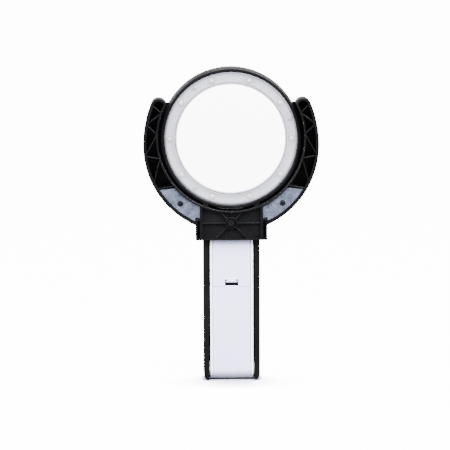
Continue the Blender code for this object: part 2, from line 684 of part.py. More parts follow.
def column_front_cover():
    """The fixed upper front panel, with the finger notch over the battery door's latch."""
    low = DOOR_TOP + GAP
    back = COLUMN_FRONT + PANEL
    outline = rectangle(-PANEL_HALF_WIDTH, PANEL_HALF_WIDTH, low, COLUMN_STEP_Z - GAP)
    cover = plate("column_front_cover", outline, COLUMN_FRONT, back)
    notch = rectangle(-NOTCH_HALF - GAP, NOTCH_HALF + GAP, low - MM, NOTCH_TOP)
    cut(cover, plate("latch_notch", notch, COLUMN_FRONT - MM, back + MM))
    ramp = [
        (COLUMN_FRONT - 0.1 * MM, RAMP_TOP),
        (COLUMN_FRONT + 1.1 * MM, NOTCH_TOP - MM),
        (COLUMN_FRONT - 2 * MM, NOTCH_TOP - MM),
        (COLUMN_FRONT - 2 * MM, RAMP_TOP),
    ]
    cut(cover, plate("finger_ramp", ramp, -RAMP_HALF, RAMP_HALF, SIDE_PLANE))
    for z in COLUMN_SCREWS:
        name = round(z / MM)
        boss = rod(f"front_boss_{name}", 3.0 * MM, back - 0.5 * MM, BAY_BACK - GAP, (0, 0, z), ALONG_Y)
        join(cover, boss)
        hole = rod(f"front_boss_hole_{name}", SCREW_HOLE, back + 2 * MM, BAY_BACK + MM, (0, 0, z), ALONG_Y)
        cut(cover, hole)
    return shown(cover, WHITE)


def column_screws():
    for k, z in enumerate(COLUMN_SCREWS):
        head_top = COLUMN_BACK - 0.1 * MM
        steps = [(SCREW_HEAD, head_top - 0.6 * MM, head_top), (SCREW_SHANK, -2.0 * MM, head_top - 0.6 * MM)]
        shown(stepped_rod(f"column_screw_{k + 1}", steps, (0, 0, z), ALONG_Y, 16), BRIGHT_STEEL)


DOOR_AXIS = arc(FOLD_CENTRE, COLUMN_HALF_DEPTH, DOOR_END_ANGLE, DOOR_END_ANGLE, 1)[0]
LATCH_RISE = 1.4 * MM
LATCH_FOOT_HALF = 7.6 * MM
LATCH_TOP_HALF = 5.7 * MM


def battery_door():
    """A panel that bends round the column's end, where it hooks in, with a latch tab at its top."""
    outer = arc(FOLD_CENTRE, COLUMN_HALF_DEPTH, 180, DOOR_END_ANGLE, 7)
    inner = arc(FOLD_CENTRE, COLUMN_HALF_DEPTH - PANEL, DOOR_END_ANGLE, 180, 7)
    outline = [(COLUMN_FRONT, DOOR_TOP)] + outer + inner + [(COLUMN_FRONT + PANEL, DOOR_TOP)]
    door = plate("battery_door", outline, -PANEL_HALF_WIDTH, PANEL_HALF_WIDTH, SIDE_PLANE)
    tab = [
        (-LATCH_FOOT_HALF, DOOR_TOP - 2 * MM),
        (LATCH_FOOT_HALF, DOOR_TOP - 2 * MM),
        (LATCH_TOP_HALF, DOOR_TOP + LATCH_RISE),
        (-LATCH_TOP_HALF, DOOR_TOP + LATCH_RISE),
    ]
    join(door, plate("latch_tab", tab, COLUMN_FRONT + 0.2 * MM, COLUMN_FRONT + PANEL - 0.2 * MM))
    catch = rectangle(-4.5 * MM, 4.5 * MM, DOOR_TOP - 3 * MM, DOOR_TOP - 1.2 * MM)
    join(door, plate("latch_catch", catch, COLUMN_FRONT + 1.2 * MM, COLUMN_FRONT + PANEL + 1.6 * MM))
    return shown(door, WHITE)


def cells():
    """Three cells side by side, the middle one the other way up, so that they join in series."""
    sleeve_top = CELL_LENGTH - 1.2 * MM
    profile = [
        (0, CELL_LENGTH),
        (1.9 * MM, CELL_LENGTH),
        (1.9 * MM, sleeve_top),
        (CELL_RADIUS - 0.6 * MM, sleeve_top),
        (CELL_RADIUS, sleeve_top - 0.6 * MM),
        (CELL_RADIUS, 0.5 * MM),
        (CELL_RADIUS - 0.5 * MM, 0),
        (0, 0),
    ]
    flipped = Matrix.Rotation(math.radians(180), 4, "X")
    for k in range(3):
        x = (k - 1) * CELL_PITCH
        upside_down = k == 1
        bottom = CELL_BOTTOM + CELL_LENGTH if upside_down else CELL_BOTTOM
        turn = flipped if upside_down else ALONG_Z
        shown(turned(f"battery_cell_{k + 1}", profile, (x, CELL_Y, bottom), turn, 16), CELL_SLEEVE)


CONTACT = 0.5 * MM
LOWER_CONTACT_Z = BAY_BOTTOM + GAP
UPPER_CONTACT_Z = DIVIDER_Z - GAP - CONTACT


def contacts():
    """The plates at the ends of the cells, and the coil springs against each cell's flat end."""
    for name, z in (("contact_plate_lower", LOWER_CONTACT_Z), ("contact_plate_upper", UPPER_CONTACT_Z)):
        outline = rectangle(-16.0 * MM, 16.0 * MM, z, z + CONTACT)
        shown(plate(name, outline, CELL_Y - 4.2 * MM, CELL_Y + 4.2 * MM), NICKEL)
    lower_gap = CELL_BOTTOM - LOWER_CONTACT_Z - CONTACT
    upper_gap = UPPER_CONTACT_Z - CELL_BOTTOM - CELL_LENGTH
    turns = 3
    points_per_turn = 8
    wire = 0.35 * MM
    count = round(turns * points_per_turn)
    for k in range(3):
        x = (k - 1) * CELL_PITCH
        up = k == 1
        base = UPPER_CONTACT_Z - GAP if up else LOWER_CONTACT_Z + CONTACT + GAP
        height = (upper_gap if up else lower_gap) - 2 * GAP - 2 * wire
        way = -1 if up else 1
        points = []
        for n in range(count + 1):
            part = n / count
            angle = 2 * math.pi * turns * part
            radius = (3.6 - 1.4 * part) * MM
            z = base + way * (wire + height * part)
            points.append((x + radius * math.cos(angle), CELL_Y + radius * math.sin(angle), z))
        curve = bpy.data.curves.new(f"contact_spring_{k + 1}", "CURVE")
        curve.dimensions = "3D"
        curve.bevel_depth = wire
        curve.bevel_resolution = 1
        curve.use_fill_caps = True
        spline = curve.splines.new("POLY")
        spline.points.add(len(points) - 1)
        for point, place in zip(spline.points, points):
            point.co = (*place, 1)
        obj = bpy.data.objects.new(curve.name, curve)
        bpy.context.scene.collection.objects.link(obj)
        bpy.context.view_layer.update()
        shown(bake(obj), NICKEL)


# ---------------------------------------------------------------- crescent base

OUTER_WALL = 2.7 * MM
INNER_WALL = 1.5 * MM
ARM_INNER_X = 26.0 * MM
ARM_FLOOR = 2.0 * MM
FLARE_X = CRESCENT_RADIUS - FLARE_RADIUS
RIB = 1.0 * MM
RIB_FRONT = UNDERSIDE + 1.0 * MM
RIB_ANGLES = (28, 20, 14, 3, -7, -16, -26)
ARM_FLOOR_FRONT = ARM_BACK - ARM_FLOOR
EAR_HALF_WIDTH = 31.9 * MM
EAR_INNER_X = 25.7 * MM
EAR_TOP = 147.2 * MM
EAR_BACK = 3.6 * MM
BOSS_RADIUS = 5.2 * MM
BOSS_HOLE = 4.2 * MM
LEDGE_RADIUS = RIM_RADIUS + 0.5 * MM

WEIGHT_SCREW_X = 45.5 * MM
WEIGHT_SCREW_Z = 160.4 * MM

# Where the ribs of the right half of the block end, across and up from the boss
BLOCK_RIB_ENDS = ((26.5 * MM, 0), (9.9 * MM, 9.8 * MM), (14.0 * MM, -13.6 * MM))


def arm_outline():
    """One arm of the crescent: a round back that flares outwards above the lens axis, and a round tip."""
    lower = arc((0, CRESCENT_Z), CRESCENT_RADIUS, angle_at(CRESCENT_RADIUS, ARM_INNER_X), 0, 18)
    flare = arc((FLARE_X, CRESCENT_Z), FLARE_RADIUS, 0, 23.2, 7)[1:]
    tip = arc((TIP_X, TIP_Z), TIP_RADIUS, 42, 152, 7)
    mouth = arc((0, MOUTH_Z), MOUTH_RADIUS, 28.2, angle_at(MOUTH_RADIUS, ARM_INNER_X), 24)
    return lower + flare + tip + mouth


def arm_pocket_outline():
    """The hollow in an arm, open to the underside, from the block's side to the tip."""
    outer = CRESCENT_RADIUS - OUTER_WALL
    inner = MOUTH_RADIUS + INNER_WALL
    lower = arc((0, CRESCENT_Z), outer, angle_at(outer, BLOCK_HALF_WIDTH), 0, 18)
    flare = arc((FLARE_X, CRESCENT_Z), FLARE_RADIUS - OUTER_WALL, 0, 21.6, 7)[1:]
    tip = arc((TIP_X, TIP_Z), TIP_RADIUS - 2.3 * MM, 20, 160, 6)
    mouth = arc((0, MOUTH_Z), inner, 25.6, angle_at(inner, BLOCK_HALF_WIDTH), 24)
    return lower + flare + tip + mouth


def ledge_outline():
    """The arm's floor carried inwards past its wall, close round the lens rim, so no light comes through."""
    wall_middle = MOUTH_RADIUS + INNER_WALL / 2
    inner = arc((0, RING_Z), LEDGE_RADIUS, angle_at(LEDGE_RADIUS, ARM_INNER_X), 26, 24)
    outer = arc((0, MOUTH_Z), wall_middle, 24, angle_at(wall_middle, ARM_INNER_X), 24)
    return inner + outer


def outer_wall_point(degrees):
    """A point in the middle of the outer wall, level with this angle about the crescent's centre."""
    middle = OUTER_WALL / 2
    height = (CRESCENT_RADIUS - middle) * math.sin(math.radians(degrees))
    if height < 0:
        return math.sqrt((CRESCENT_RADIUS - middle) ** 2 - height**2), CRESCENT_Z + height
    return FLARE_X + math.sqrt((FLARE_RADIUS - middle) ** 2 - height**2), CRESCENT_Z + height


def inner_wall_point(degrees):
    angle = math.radians(degrees)
    radius = MOUTH_RADIUS + INNER_WALL / 2
    return radius * math.cos(angle), MOUTH_Z + radius * math.sin(angle)


def block_outline(inset=0.0):
    """The middle of the base over the handle: straight sides, and the mouth's curve along its top."""
    half = BLOCK_HALF_WIDTH - inset
    radius = MOUTH_RADIUS + inset
    start = angle_at(radius, half)
    top = arc((0, MOUTH_Z), radius, start, -180 - start, 14)
    low = BLOCK_BOTTOM + inset
    return [(-half, low), (half, low)] + top


def ear_outline(side):
    corner = 2.5 * MM
    low = BLOCK_BOTTOM
    round_corner = arc((EAR_HALF_WIDTH - corner, EAR_TOP - corner), corner, 0, 90, 4)
    outline = [(EAR_INNER_X, low), (EAR_HALF_WIDTH, low)] + round_corner + [(EAR_INNER_X, EAR_TOP)]
    return mirrored(outline, side)


def arm_ribs():
    """A zigzag of ribs from wall to wall, and the cross wall above the weight, for the right arm."""
    ends = []
    for k, degrees in enumerate(RIB_ANGLES):
        ends.append(outer_wall_point(degrees) if k % 2 == 0 else inner_wall_point(degrees))
    ribs = list(zip(ends, ends[1:]))
    ribs.append((outer_wall_point(-30.4), inner_wall_point(-40.0)))
    return ribs


def base_shell():
    shell = plate("base_shell", block_outline(), UNDERSIDE, BLOCK_FLOOR_BACK)
    cut(shell, plate("block_recess", block_outline(1.6 * MM), UNDERSIDE - MM, BLOCK_FLOOR_FRONT))
    for name, side in SIDES:
        arm = plate(f"arm_{name}", mirrored(arm_outline(), side), UNDERSIDE, ARM_BACK)
        pocket = mirrored(arm_pocket_outline(), side)
        cut(arm, plate(f"arm_pocket_{name}", pocket, UNDERSIDE - MM, ARM_FLOOR_FRONT))
        ledge = mirrored(ledge_outline(), side)
        join(arm, plate(f"arm_ledge_{name}", ledge, ARM_FLOOR_FRONT, ARM_BACK - 0.2 * MM))
        for k, (start, end) in enumerate(arm_ribs()):
            start, end = mirrored((start, end), side)
            join(arm, wall(f"arm_rib_{name}_{k}", start, end, RIB, RIB_FRONT, ARM_FLOOR_FRONT + 0.5 * MM))
        join(shell, arm)
        join(shell, plate(f"ear_{name}", ear_outline(side), UNDERSIDE + 0.4 * MM, EAR_BACK))
        hollow = rectangle(BLOCK_HALF_WIDTH + 0.7 * MM, EAR_HALF_WIDTH - 1.5 * MM,
                           BLOCK_BOTTOM + 1.8 * MM, EAR_TOP - 2.4 * MM)
        cut(shell, plate(f"ear_hollow_{name}", mirrored(hollow, side), UNDERSIDE - MM, EAR_BACK - 2 * MM))
    root = BLOCK_FLOOR_FRONT + 0.5 * MM
    join(shell, rod("boss", BOSS_RADIUS, UNDERSIDE + 0.6 * MM, root, (0, 0, BASE_PIVOT_Z), ALONG_Y, 28))
    for name, side in SIDES:
        for k, (across, up) in enumerate(BLOCK_RIB_ENDS):
            near = (BOSS_RADIUS - 0.5 * MM) / math.hypot(across, up)
            start = (side * across * near, BASE_PIVOT_Z + up * near)
            end = (side * across, BASE_PIVOT_Z + up)
            join(shell, wall(f"block_rib_{name}_{k}", start, end, RIB, UNDERSIDE + 0.8 * MM, root))
    counterbore = BLOCK_FLOOR_FRONT + 0.6 * MM
    steps = [(1.8 * MM, counterbore, BLOCK_FLOOR_BACK + MM), (BOSS_HOLE, UNDERSIDE - MM, counterbore)]
    cut(shell, stepped_rod("boss_hole", steps, (0, 0, BASE_PIVOT_Z), ALONG_Y))
    for name, side in SIDES:
        place = (side * WEIGHT_SCREW_X, 0, WEIGHT_SCREW_Z)
        hole_ends = (ARM_FLOOR_FRONT - MM, ARM_BACK + MM)
        cut(shell, rod(f"floor_screw_hole_{name}", SCREW_HOLE, *hole_ends, place, ALONG_Y, 12))
    return shown(shell, BLACK)


WEIGHT_FRONT = UNDERSIDE + 1.5 * MM
WEIGHT_BACK = ARM_FLOOR_FRONT - GAP


def weight_outline():
    """A steel block that fills the arm's root, cut out round the ear."""
    inner = MOUTH_RADIUS + INNER_WALL + GAP
    outer = CRESCENT_RADIUS - OUTER_WALL - GAP
    low_x = BLOCK_HALF_WIDTH + GAP
    ear_x = EAR_HALF_WIDTH + GAP
    mouth = arc((0, MOUTH_Z), inner, -41.6, angle_at(inner, low_x), 8)
    notch = [(low_x, EAR_TOP + GAP), (ear_x, EAR_TOP + GAP)]
    back = arc((0, CRESCENT_Z), outer, angle_at(outer, ear_x), -31.8, 9)
    return mouth + notch + back


def counterweights():
    sink_floor = WEIGHT_FRONT + 2.0 * MM
    hole = [(SCREW_HOLE, sink_floor, WEIGHT_BACK + MM), (SCREW_SINK, WEIGHT_FRONT - MM, sink_floor)]
    seat = sink_floor - GAP
    screw = [(SCREW_SHANK, seat, ARM_BACK - 0.4 * MM), (SCREW_HEAD - 0.1 * MM, seat - 1.5 * MM, seat)]
    for name, side in SIDES:
        place = (side * WEIGHT_SCREW_X, 0, WEIGHT_SCREW_Z)
        weight = plate(f"counterweight_{name}", mirrored(weight_outline(), side), WEIGHT_FRONT, WEIGHT_BACK)
        cut(weight, stepped_rod(f"weight_hole_{name}", hole, place, ALONG_Y))
        shown(weight, STEEL)
        shown(stepped_rod(f"weight_screw_{name}", screw, place, ALONG_Y, 16), DARK_STEEL)


BRACKET_FRONT = BLOCK_FLOOR_BACK + GAP
BRACKET_BACK = BRACKET_FRONT + 1.5 * MM
LUG_INNER = TONGUE_HALF_WIDTH + GAP
LUG_OUTER = 18.5 * MM
LUG_RADIUS = 6.0 * MM
BRACKET_LOW = BASE_PIVOT_Z - 9.1 * MM
BRACKET_HIGH = BASE_PIVOT_Z + 8.4 * MM


def hinge_bracket():
    """A plate screwed behind the base's block, with two lugs that carry the base pin."""
    outline = rectangle(-LUG_OUTER, LUG_OUTER, BRACKET_LOW, BRACKET_HIGH)
    bracket = plate("hinge_bracket", outline, BRACKET_FRONT, BRACKET_BACK)
    root = BRACKET_FRONT + 0.5 * MM
    lug = arc(BASE_CENTRE, LUG_RADIUS, -90, 90, 12)
    lug += [(root, BASE_PIVOT_Z + LUG_RADIUS), (root, BASE_PIVOT_Z - LUG_RADIUS)]
    for name, side in SIDES:
        low, high = sorted((side * LUG_INNER, side * LUG_OUTER))
        join(bracket, plate(f"lug_{name}", lug, low, high, SIDE_PLANE))
    pin_hole = BASE_PIN_RADIUS + GAP
    cut(bracket, rod("bracket_pin_way", pin_hole, -20 * MM, 20 * MM, (0, *BASE_CENTRE), ALONG_X))
    screw_ends = (BRACKET_FRONT - MM, BRACKET_BACK + MM)
    cut(bracket, rod("bracket_screw_way", SCREW_HOLE, *screw_ends, (0, 0, BASE_PIVOT_Z), ALONG_Y, 16))
    return shown(bracket, DARK_STEEL)


def base_hinge():
    hinge_bracket()
    pin_half = LUG_OUTER - 0.2 * MM
    shown(rod("base_pin", BASE_PIN_RADIUS, -pin_half, pin_half, (0, *BASE_CENTRE), ALONG_X), BRIGHT_STEEL)
    seat = BLOCK_FLOOR_FRONT + 0.3 * MM
    steps = [(SCREW_SHANK, seat, BRACKET_BACK - 0.2 * MM), (3.4 * MM, seat - 1.2 * MM, seat)]
    shown(stepped_rod("bracket_screw", steps, (0, 0, BASE_PIVOT_Z), ALONG_Y), DARK_STEEL)


# ---------------------------------------------------------------- assembly


def pivot(name, place, parent=None):
    """An empty on a joint's axis, for the pieces that the joint carries."""
    empty = bpy.data.objects.new(name, None)
    empty.empty_display_size = 0.01
    PARTS.objects.link(empty)
    empty.location = place
    bpy.context.view_layer.update()
    hold(empty, parent)
    return empty


def hold(child, parent):
    """Parents a piece without moving it."""
    if parent is None:
        return
    child.parent = parent
    child.matrix_parent_inverse = parent.matrix_world.inverted()


def build():
    head_frame()
    head_cover()
    lens()
    led_cover()
    led_board()
    leds()
    board_screws()
    handle_screws()
    switch_body()
    lead("lead_positive", 1.4 * MM, RED_LEAD)
    lead("lead_negative", -1.4 * MM, BLACK_LEAD)
    fold_hinge()
    column_body()
    column_front_cover()
    column_screws()
    cells()
    contacts()
    battery_door()
    base_shell()
    counterweights()
    base_hinge()
    switch_knob()

    column_axis = pivot("column_axis", (0, *FOLD_CENTRE))
    door_axis = pivot("door_axis", (0, *DOOR_AXIS), column_axis)
    base_axis = pivot("base_axis", (0, *BASE_CENTRE), column_axis)
    switch_axis = pivot("switch_axis", (0, TOPSIDE, SWITCH_Z - SWITCH_TRAVEL / 2))
    carried = {
        column_axis: ("column_", "battery_cell", "contact_"),
        door_axis: ("battery_door",),
        base_axis: ("base_", "counterweight", "weight_screw", "hinge_bracket", "bracket_screw"),
        switch_axis: ("switch_knob",),
    }
    for empty, prefixes in carried.items():
        for obj in list(PARTS.objects):
            if obj.type == "MESH" and obj.name.startswith(prefixes):
                hold(obj, empty)


build()
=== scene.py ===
"""The looks of a folding LED stand magnifier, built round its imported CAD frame. Metres, +Z up the
handle, the underside faces -Y. Bodies: head, switch, column, door and base."""

import json
import math

import bmesh
import bpy
from mathutils import Matrix, Quaternion, Vector

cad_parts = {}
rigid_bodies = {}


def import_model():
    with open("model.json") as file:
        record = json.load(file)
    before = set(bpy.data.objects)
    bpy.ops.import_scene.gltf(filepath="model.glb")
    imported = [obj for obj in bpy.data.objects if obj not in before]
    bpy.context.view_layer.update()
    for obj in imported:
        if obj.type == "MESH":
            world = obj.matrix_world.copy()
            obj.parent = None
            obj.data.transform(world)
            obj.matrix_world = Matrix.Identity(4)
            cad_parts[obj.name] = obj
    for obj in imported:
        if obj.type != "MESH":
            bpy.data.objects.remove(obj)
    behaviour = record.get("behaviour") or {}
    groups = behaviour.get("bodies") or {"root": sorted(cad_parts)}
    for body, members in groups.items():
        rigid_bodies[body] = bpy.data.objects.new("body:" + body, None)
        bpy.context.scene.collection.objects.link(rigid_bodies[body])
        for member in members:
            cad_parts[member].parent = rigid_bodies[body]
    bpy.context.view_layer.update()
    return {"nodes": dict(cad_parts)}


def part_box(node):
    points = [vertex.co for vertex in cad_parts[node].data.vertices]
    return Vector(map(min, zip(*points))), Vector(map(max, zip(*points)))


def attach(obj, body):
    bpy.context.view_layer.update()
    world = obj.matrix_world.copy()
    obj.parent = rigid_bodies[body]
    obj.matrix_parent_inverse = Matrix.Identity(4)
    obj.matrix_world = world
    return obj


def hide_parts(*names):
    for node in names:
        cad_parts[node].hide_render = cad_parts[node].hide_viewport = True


for startup in list(bpy.data.objects):
    bpy.data.objects.remove(startup, do_unlink=True)

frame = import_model()
NODES = frame["nodes"]

MM = 0.001
GAP = 0.3 * MM  # between parts that lie side by side
FAR = 30 * MM  # takes a cutting tool well past the surface
SCREW_WAY = 1.5 * MM
SCREW_SINK = 2.7 * MM
FOLD_PIN_WAY = 2.8 * MM
BASE_PIN_WAY = 2.3 * MM
FINE_STEPS = 144
ROUND_STEPS = 64
HOLE_STEPS = 32
SMOOTH_ANGLE = math.radians(38)
SIDES = (("left", -1), ("right", 1))

# ---- places, read from the frame


def middle(node):
    low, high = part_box(node)
    return (low + high) / 2


COVER_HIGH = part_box("head_cover")[1]
FRAME_LOW, FRAME_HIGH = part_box("head_frame")
COLUMN_LOW, COLUMN_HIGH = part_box("column_body")
PANEL_LOW, PANEL_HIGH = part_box("column_front_cover")
BASE_LOW, BASE_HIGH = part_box("base_shell")
LED_COVER_LOW, LED_COVER_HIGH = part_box("led_cover")
WEIGHT_LOW, WEIGHT_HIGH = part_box("counterweight_right")
CAP_LOW, CAP_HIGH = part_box("pivot_cap_right")

RIM_RADIUS = FRAME_HIGH.x
RING_Z = FRAME_HIGH.z - RIM_RADIUS
RING_CENTRE = (0, 0, RING_Z)
FOLD = (middle("fold_pin").y, middle("fold_pin").z)
BASE_PIVOT = (middle("base_pin").y, middle("base_pin").z)
RIM_INNER = LED_COVER_HIGH.x + GAP
LENS_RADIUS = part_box("lens")[1].x
RIM_FRONT = LED_COVER_LOW.y - 0.2 * MM
HANDLE_FRONT = FRAME_LOW.y
FRAME_BACK = FRAME_HIGH.y
COVER_SEAM = FRAME_BACK + GAP
TOPSIDE = COVER_HIGH.y
COVER_INSIDE = TOPSIDE - 1.8 * MM
THUMB_RECESS = TOPSIDE - 0.9 * MM
CHANNEL_FLOOR = COLUMN_HIGH.y + GAP
HANDLE_HALF = 25.2 * MM
CHANNEL_HALF = 20.5 * MM
CAP_FACE = CAP_HIGH.x
CAP_SEAT = CAP_FACE - 1.4 * MM
CAP_RADIUS = (CAP_HIGH.z - CAP_LOW.z) / 2
PIN_HALF = CAP_LOW.x
CORNER_WIDTH = 4.4 * MM
CORNER_HEIGHT = 6.5 * MM
NECK_TOP = RING_Z - RIM_RADIUS + 10 * MM
SWITCH_Z = middle("switch_body").z
WINDOW_RADIUS = 48.3 * MM
GROOVE_RADIUS = WINDOW_RADIUS + 1.45 * MM

# How an outline's own x, y and thickness are laid in the world
FRONT_PLANE = Matrix.Rotation(math.radians(90), 4, "X")
SIDE_PLANE = Matrix(((0, 0, 1, 0), (1, 0, 0, 0), (0, 1, 0, 0), (0, 0, 0, 1)))
ALONG_Y = Matrix.Rotation(math.radians(-90), 4, "X")
ALONG_X = Matrix.Rotation(math.radians(90), 4, "Y")

# ---- material helpers

NOISE_SPAN = (0.3, 0.7)  # where most of a noise texture's values lie


class Nodes:
    """A material's node tree, with short calls for the nodes used here."""

    def __init__(self, name):
        self.material = bpy.data.materials.new(name)
        self.material.use_nodes = True
        self.tree = self.material.node_tree
        self.shader = self.tree.nodes["Principled BSDF"]
        self.place = self.tree.nodes.new("ShaderNodeTexCoord").outputs["Object"]

    def link(self, source, target):
        self.tree.links.new(source, target)

    def add(self, kind, **values):
        """A new node, with its sockets' values."""
        node = self.tree.nodes.new("ShaderNode" + kind)
        for name, value in values.items():
            node.inputs[name.replace("_", " ")].default_value = value
        return node

    def noise(self, scale, detail, roughness=0.5, stretch=None):
        node = self.add("TexNoise", Scale=scale, Detail=detail, Roughness=roughness)
        place = self.place
        if stretch:
            mapping = self.add("Mapping", Scale=stretch)
            self.link(place, mapping.inputs["Vector"])
            place = mapping.outputs["Vector"]
        self.link(place, node.inputs["Vector"])
        return node.outputs["Fac"]

    def cells(self, scale):
        node = self.add("TexVoronoi", Scale=scale)
        self.link(self.place, node.inputs["Vector"])
        return node.outputs["Color"]

    def blend(self, factor, first, second):
        """A colour between two, by a factor."""
        ramp = self.add("ValToRGB")
        ramp.color_ramp.elements[0].position, ramp.color_ramp.elements[1].position = NOISE_SPAN
        ramp.color_ramp.elements[0].color = (*first, 1)
        ramp.color_ramp.elements[1].color = (*second, 1)
        self.link(factor, ramp.inputs["Fac"])
        return ramp.outputs["Color"]

    def spread(self, factor, low, high):
        """A number between two, by a factor."""
        node = self.add("MapRange", From_Min=NOISE_SPAN[0], From_Max=NOISE_SPAN[1], To_Min=low, To_Max=high)
        self.link(factor, node.inputs["Value"])
        return node.outputs["Result"]

    def bump(self, height, strength, distance=0.0001):
        node = self.add("Bump", Strength=strength, Distance=distance)
        self.link(height, node.inputs["Height"])
        self.link(node.outputs["Normal"], self.shader.inputs["Normal"])

    def set(self, **values):
        for name, value in values.items():
            self.shader.inputs[name.replace("_", " ")].default_value = value


def moulded(name, dark, light, rough_low, rough_high, grain, grain_strength, **values):
    """Moulded plastic: a faint cloud in the colour, an uneven gloss and a fine grain."""
    nodes = Nodes(name)
    nodes.link(nodes.blend(nodes.noise(55, 4), dark, light), nodes.shader.inputs["Base Color"])
    nodes.link(nodes.spread(nodes.noise(160, 5), rough_low, rough_high), nodes.shader.inputs["Roughness"])
    nodes.bump(nodes.noise(grain, 2), grain_strength)
    nodes.set(**values)
    return nodes.material


def worked_metal(name, dark, light, rough_low, rough_high, stretch, bump_strength, **values):
    """Turned, drawn or rolled metal: fine lines along one direction, with an uneven polish."""
    nodes = Nodes(name)
    lines = nodes.noise(900, 3, 0.6, stretch)
    nodes.link(nodes.blend(nodes.noise(130, 4), dark, light), nodes.shader.inputs["Base Color"])
    nodes.link(nodes.spread(lines, rough_low, rough_high), nodes.shader.inputs["Roughness"])
    nodes.bump(lines, bump_strength, 0.00005)
    nodes.set(Metallic=1.0, **values)
    return nodes.material


def zinc_plate():
    """Dull grey zinc: patches of slightly different crystals, small dark pits and a rough skin."""
    nodes = Nodes("mottled_zinc")
    patches = nodes.blend(nodes.noise(170, 6, 0.62), (0.022, 0.028, 0.052), (0.060, 0.070, 0.112))
    crystals = nodes.cells(650)
    mixed = nodes.add("Mix")
    mixed.data_type = "RGBA"
    mixed.blend_type = "SOFT_LIGHT"
    mixed.inputs["Factor"].default_value = 0.4
    nodes.link(patches, mixed.inputs["A"])
    greys = nodes.add("RGBToBW")
    nodes.link(crystals, greys.inputs["Color"])
    nodes.link(greys.outputs["Val"], mixed.inputs["B"])
    muted = nodes.add("HueSaturation", Saturation=0.8)
    nodes.link(mixed.outputs["Result"], muted.inputs["Color"])
    nodes.link(muted.outputs["Color"], nodes.shader.inputs["Base Color"])
    nodes.link(nodes.spread(nodes.noise(380, 5, 0.7), 0.38, 0.68), nodes.shader.inputs["Roughness"])
    nodes.bump(nodes.noise(900, 5, 0.7), 0.45)
    nodes.set(Metallic=0.2, Specular_IOR_Level=0.2)
    return nodes.material


def frosted():
    """Frosted diffuser plastic: clear enough to show the LEDs faintly, with a painted shade line along its
    groove.
    """
    nodes = Nodes("frosted_diffuser")
    colour = nodes.blend(nodes.noise(40, 3), (0.30, 0.30, 0.36), (0.37, 0.37, 0.43))
    from_axis = nodes.add("VectorMath")
    from_axis.operation = "MULTIPLY_ADD"
    nodes.link(nodes.place, from_axis.inputs[0])
    from_axis.inputs[1].default_value = (1, 0, 1)
    from_axis.inputs[2].default_value = (0, 0, -RING_Z)
    radius = nodes.add("VectorMath")
    radius.operation = "LENGTH"
    nodes.link(from_axis.outputs["Vector"], radius.inputs[0])
    # Painted shade: a dark band of colour at the groove's radius stands in for the shade in the groove and
    # under its lip.
    groove_shade_band = nodes.add("Math")
    groove_shade_band.operation = "COMPARE"
    nodes.link(radius.outputs["Value"], groove_shade_band.inputs[0])
    groove_shade_band.inputs[1].default_value = GROOVE_RADIUS
    groove_shade_band.inputs[2].default_value = 0.4 * MM
    painted_groove_shadow = nodes.add("Mix")
    painted_groove_shadow.data_type = "RGBA"
    nodes.link(groove_shade_band.outputs[0], painted_groove_shadow.inputs["Factor"])
    nodes.link(colour, painted_groove_shadow.inputs["A"])
    painted_groove_shadow.inputs["B"].default_value = (0.10, 0.10, 0.12, 1)
    nodes.link(painted_groove_shadow.outputs["Result"], nodes.shader.inputs["Base Color"])
    nodes.link(nodes.spread(nodes.noise(220, 4), 0.34, 0.5), nodes.shader.inputs["Roughness"])
    nodes.bump(nodes.noise(1800, 2), 0.12)
    # The diffuser is near opaque at the groove, so that the painted shade band shows fully.
    start = GROOVE_RADIUS + 0.6 * MM
    end = GROOVE_RADIUS + 1.2 * MM
    opacity = nodes.add("MapRange", From_Min=start, From_Max=end, To_Min=0.9, To_Max=0.27)
    nodes.link(radius.outputs["Value"], opacity.inputs["Value"])
    nodes.link(opacity.outputs["Result"], nodes.shader.inputs["Alpha"])
    nodes.set(Specular_IOR_Level=0.4)
    return nodes.material


def lens_clear():
    """Polished optical acrylic."""
    nodes = Nodes("clear_lens")
    nodes.link(nodes.spread(nodes.noise(30, 2), 0.0, 0.015), nodes.shader.inputs["Roughness"])
    nodes.set(Transmission_Weight=1.0, IOR=1.49, Base_Color=(0.985, 0.99, 1.0, 1.0))
    return nodes.material


def cell_sleeve():
    """A battery's shrink sleeve: glossy dark film over an uneven can."""
    nodes = Nodes("battery_sleeve")
    colour = nodes.blend(nodes.noise(120, 3), (0.015, 0.05, 0.06), (0.03, 0.08, 0.09))
    nodes.link(colour, nodes.shader.inputs["Base Color"])
    nodes.link(nodes.spread(nodes.noise(300, 3), 0.22, 0.34), nodes.shader.inputs["Roughness"])
    nodes.bump(nodes.noise(240, 2), 0.1)
    nodes.set(Coat_Weight=0.5, Coat_Roughness=0.15)
    return nodes.material


BLACK = moulded(
    "black_plastic", (0.0016, 0.0016, 0.0020), (0.0030, 0.0030, 0.0036), 0.24, 0.36, 2600, 0.05,
    Specular_IOR_Level=0.10,
)
WHITE = moulded(
    "white_plastic", (0.56, 0.57, 0.84), (0.60, 0.61, 0.88), 0.30, 0.42, 2400, 0.10, Specular_IOR_Level=0.4
)
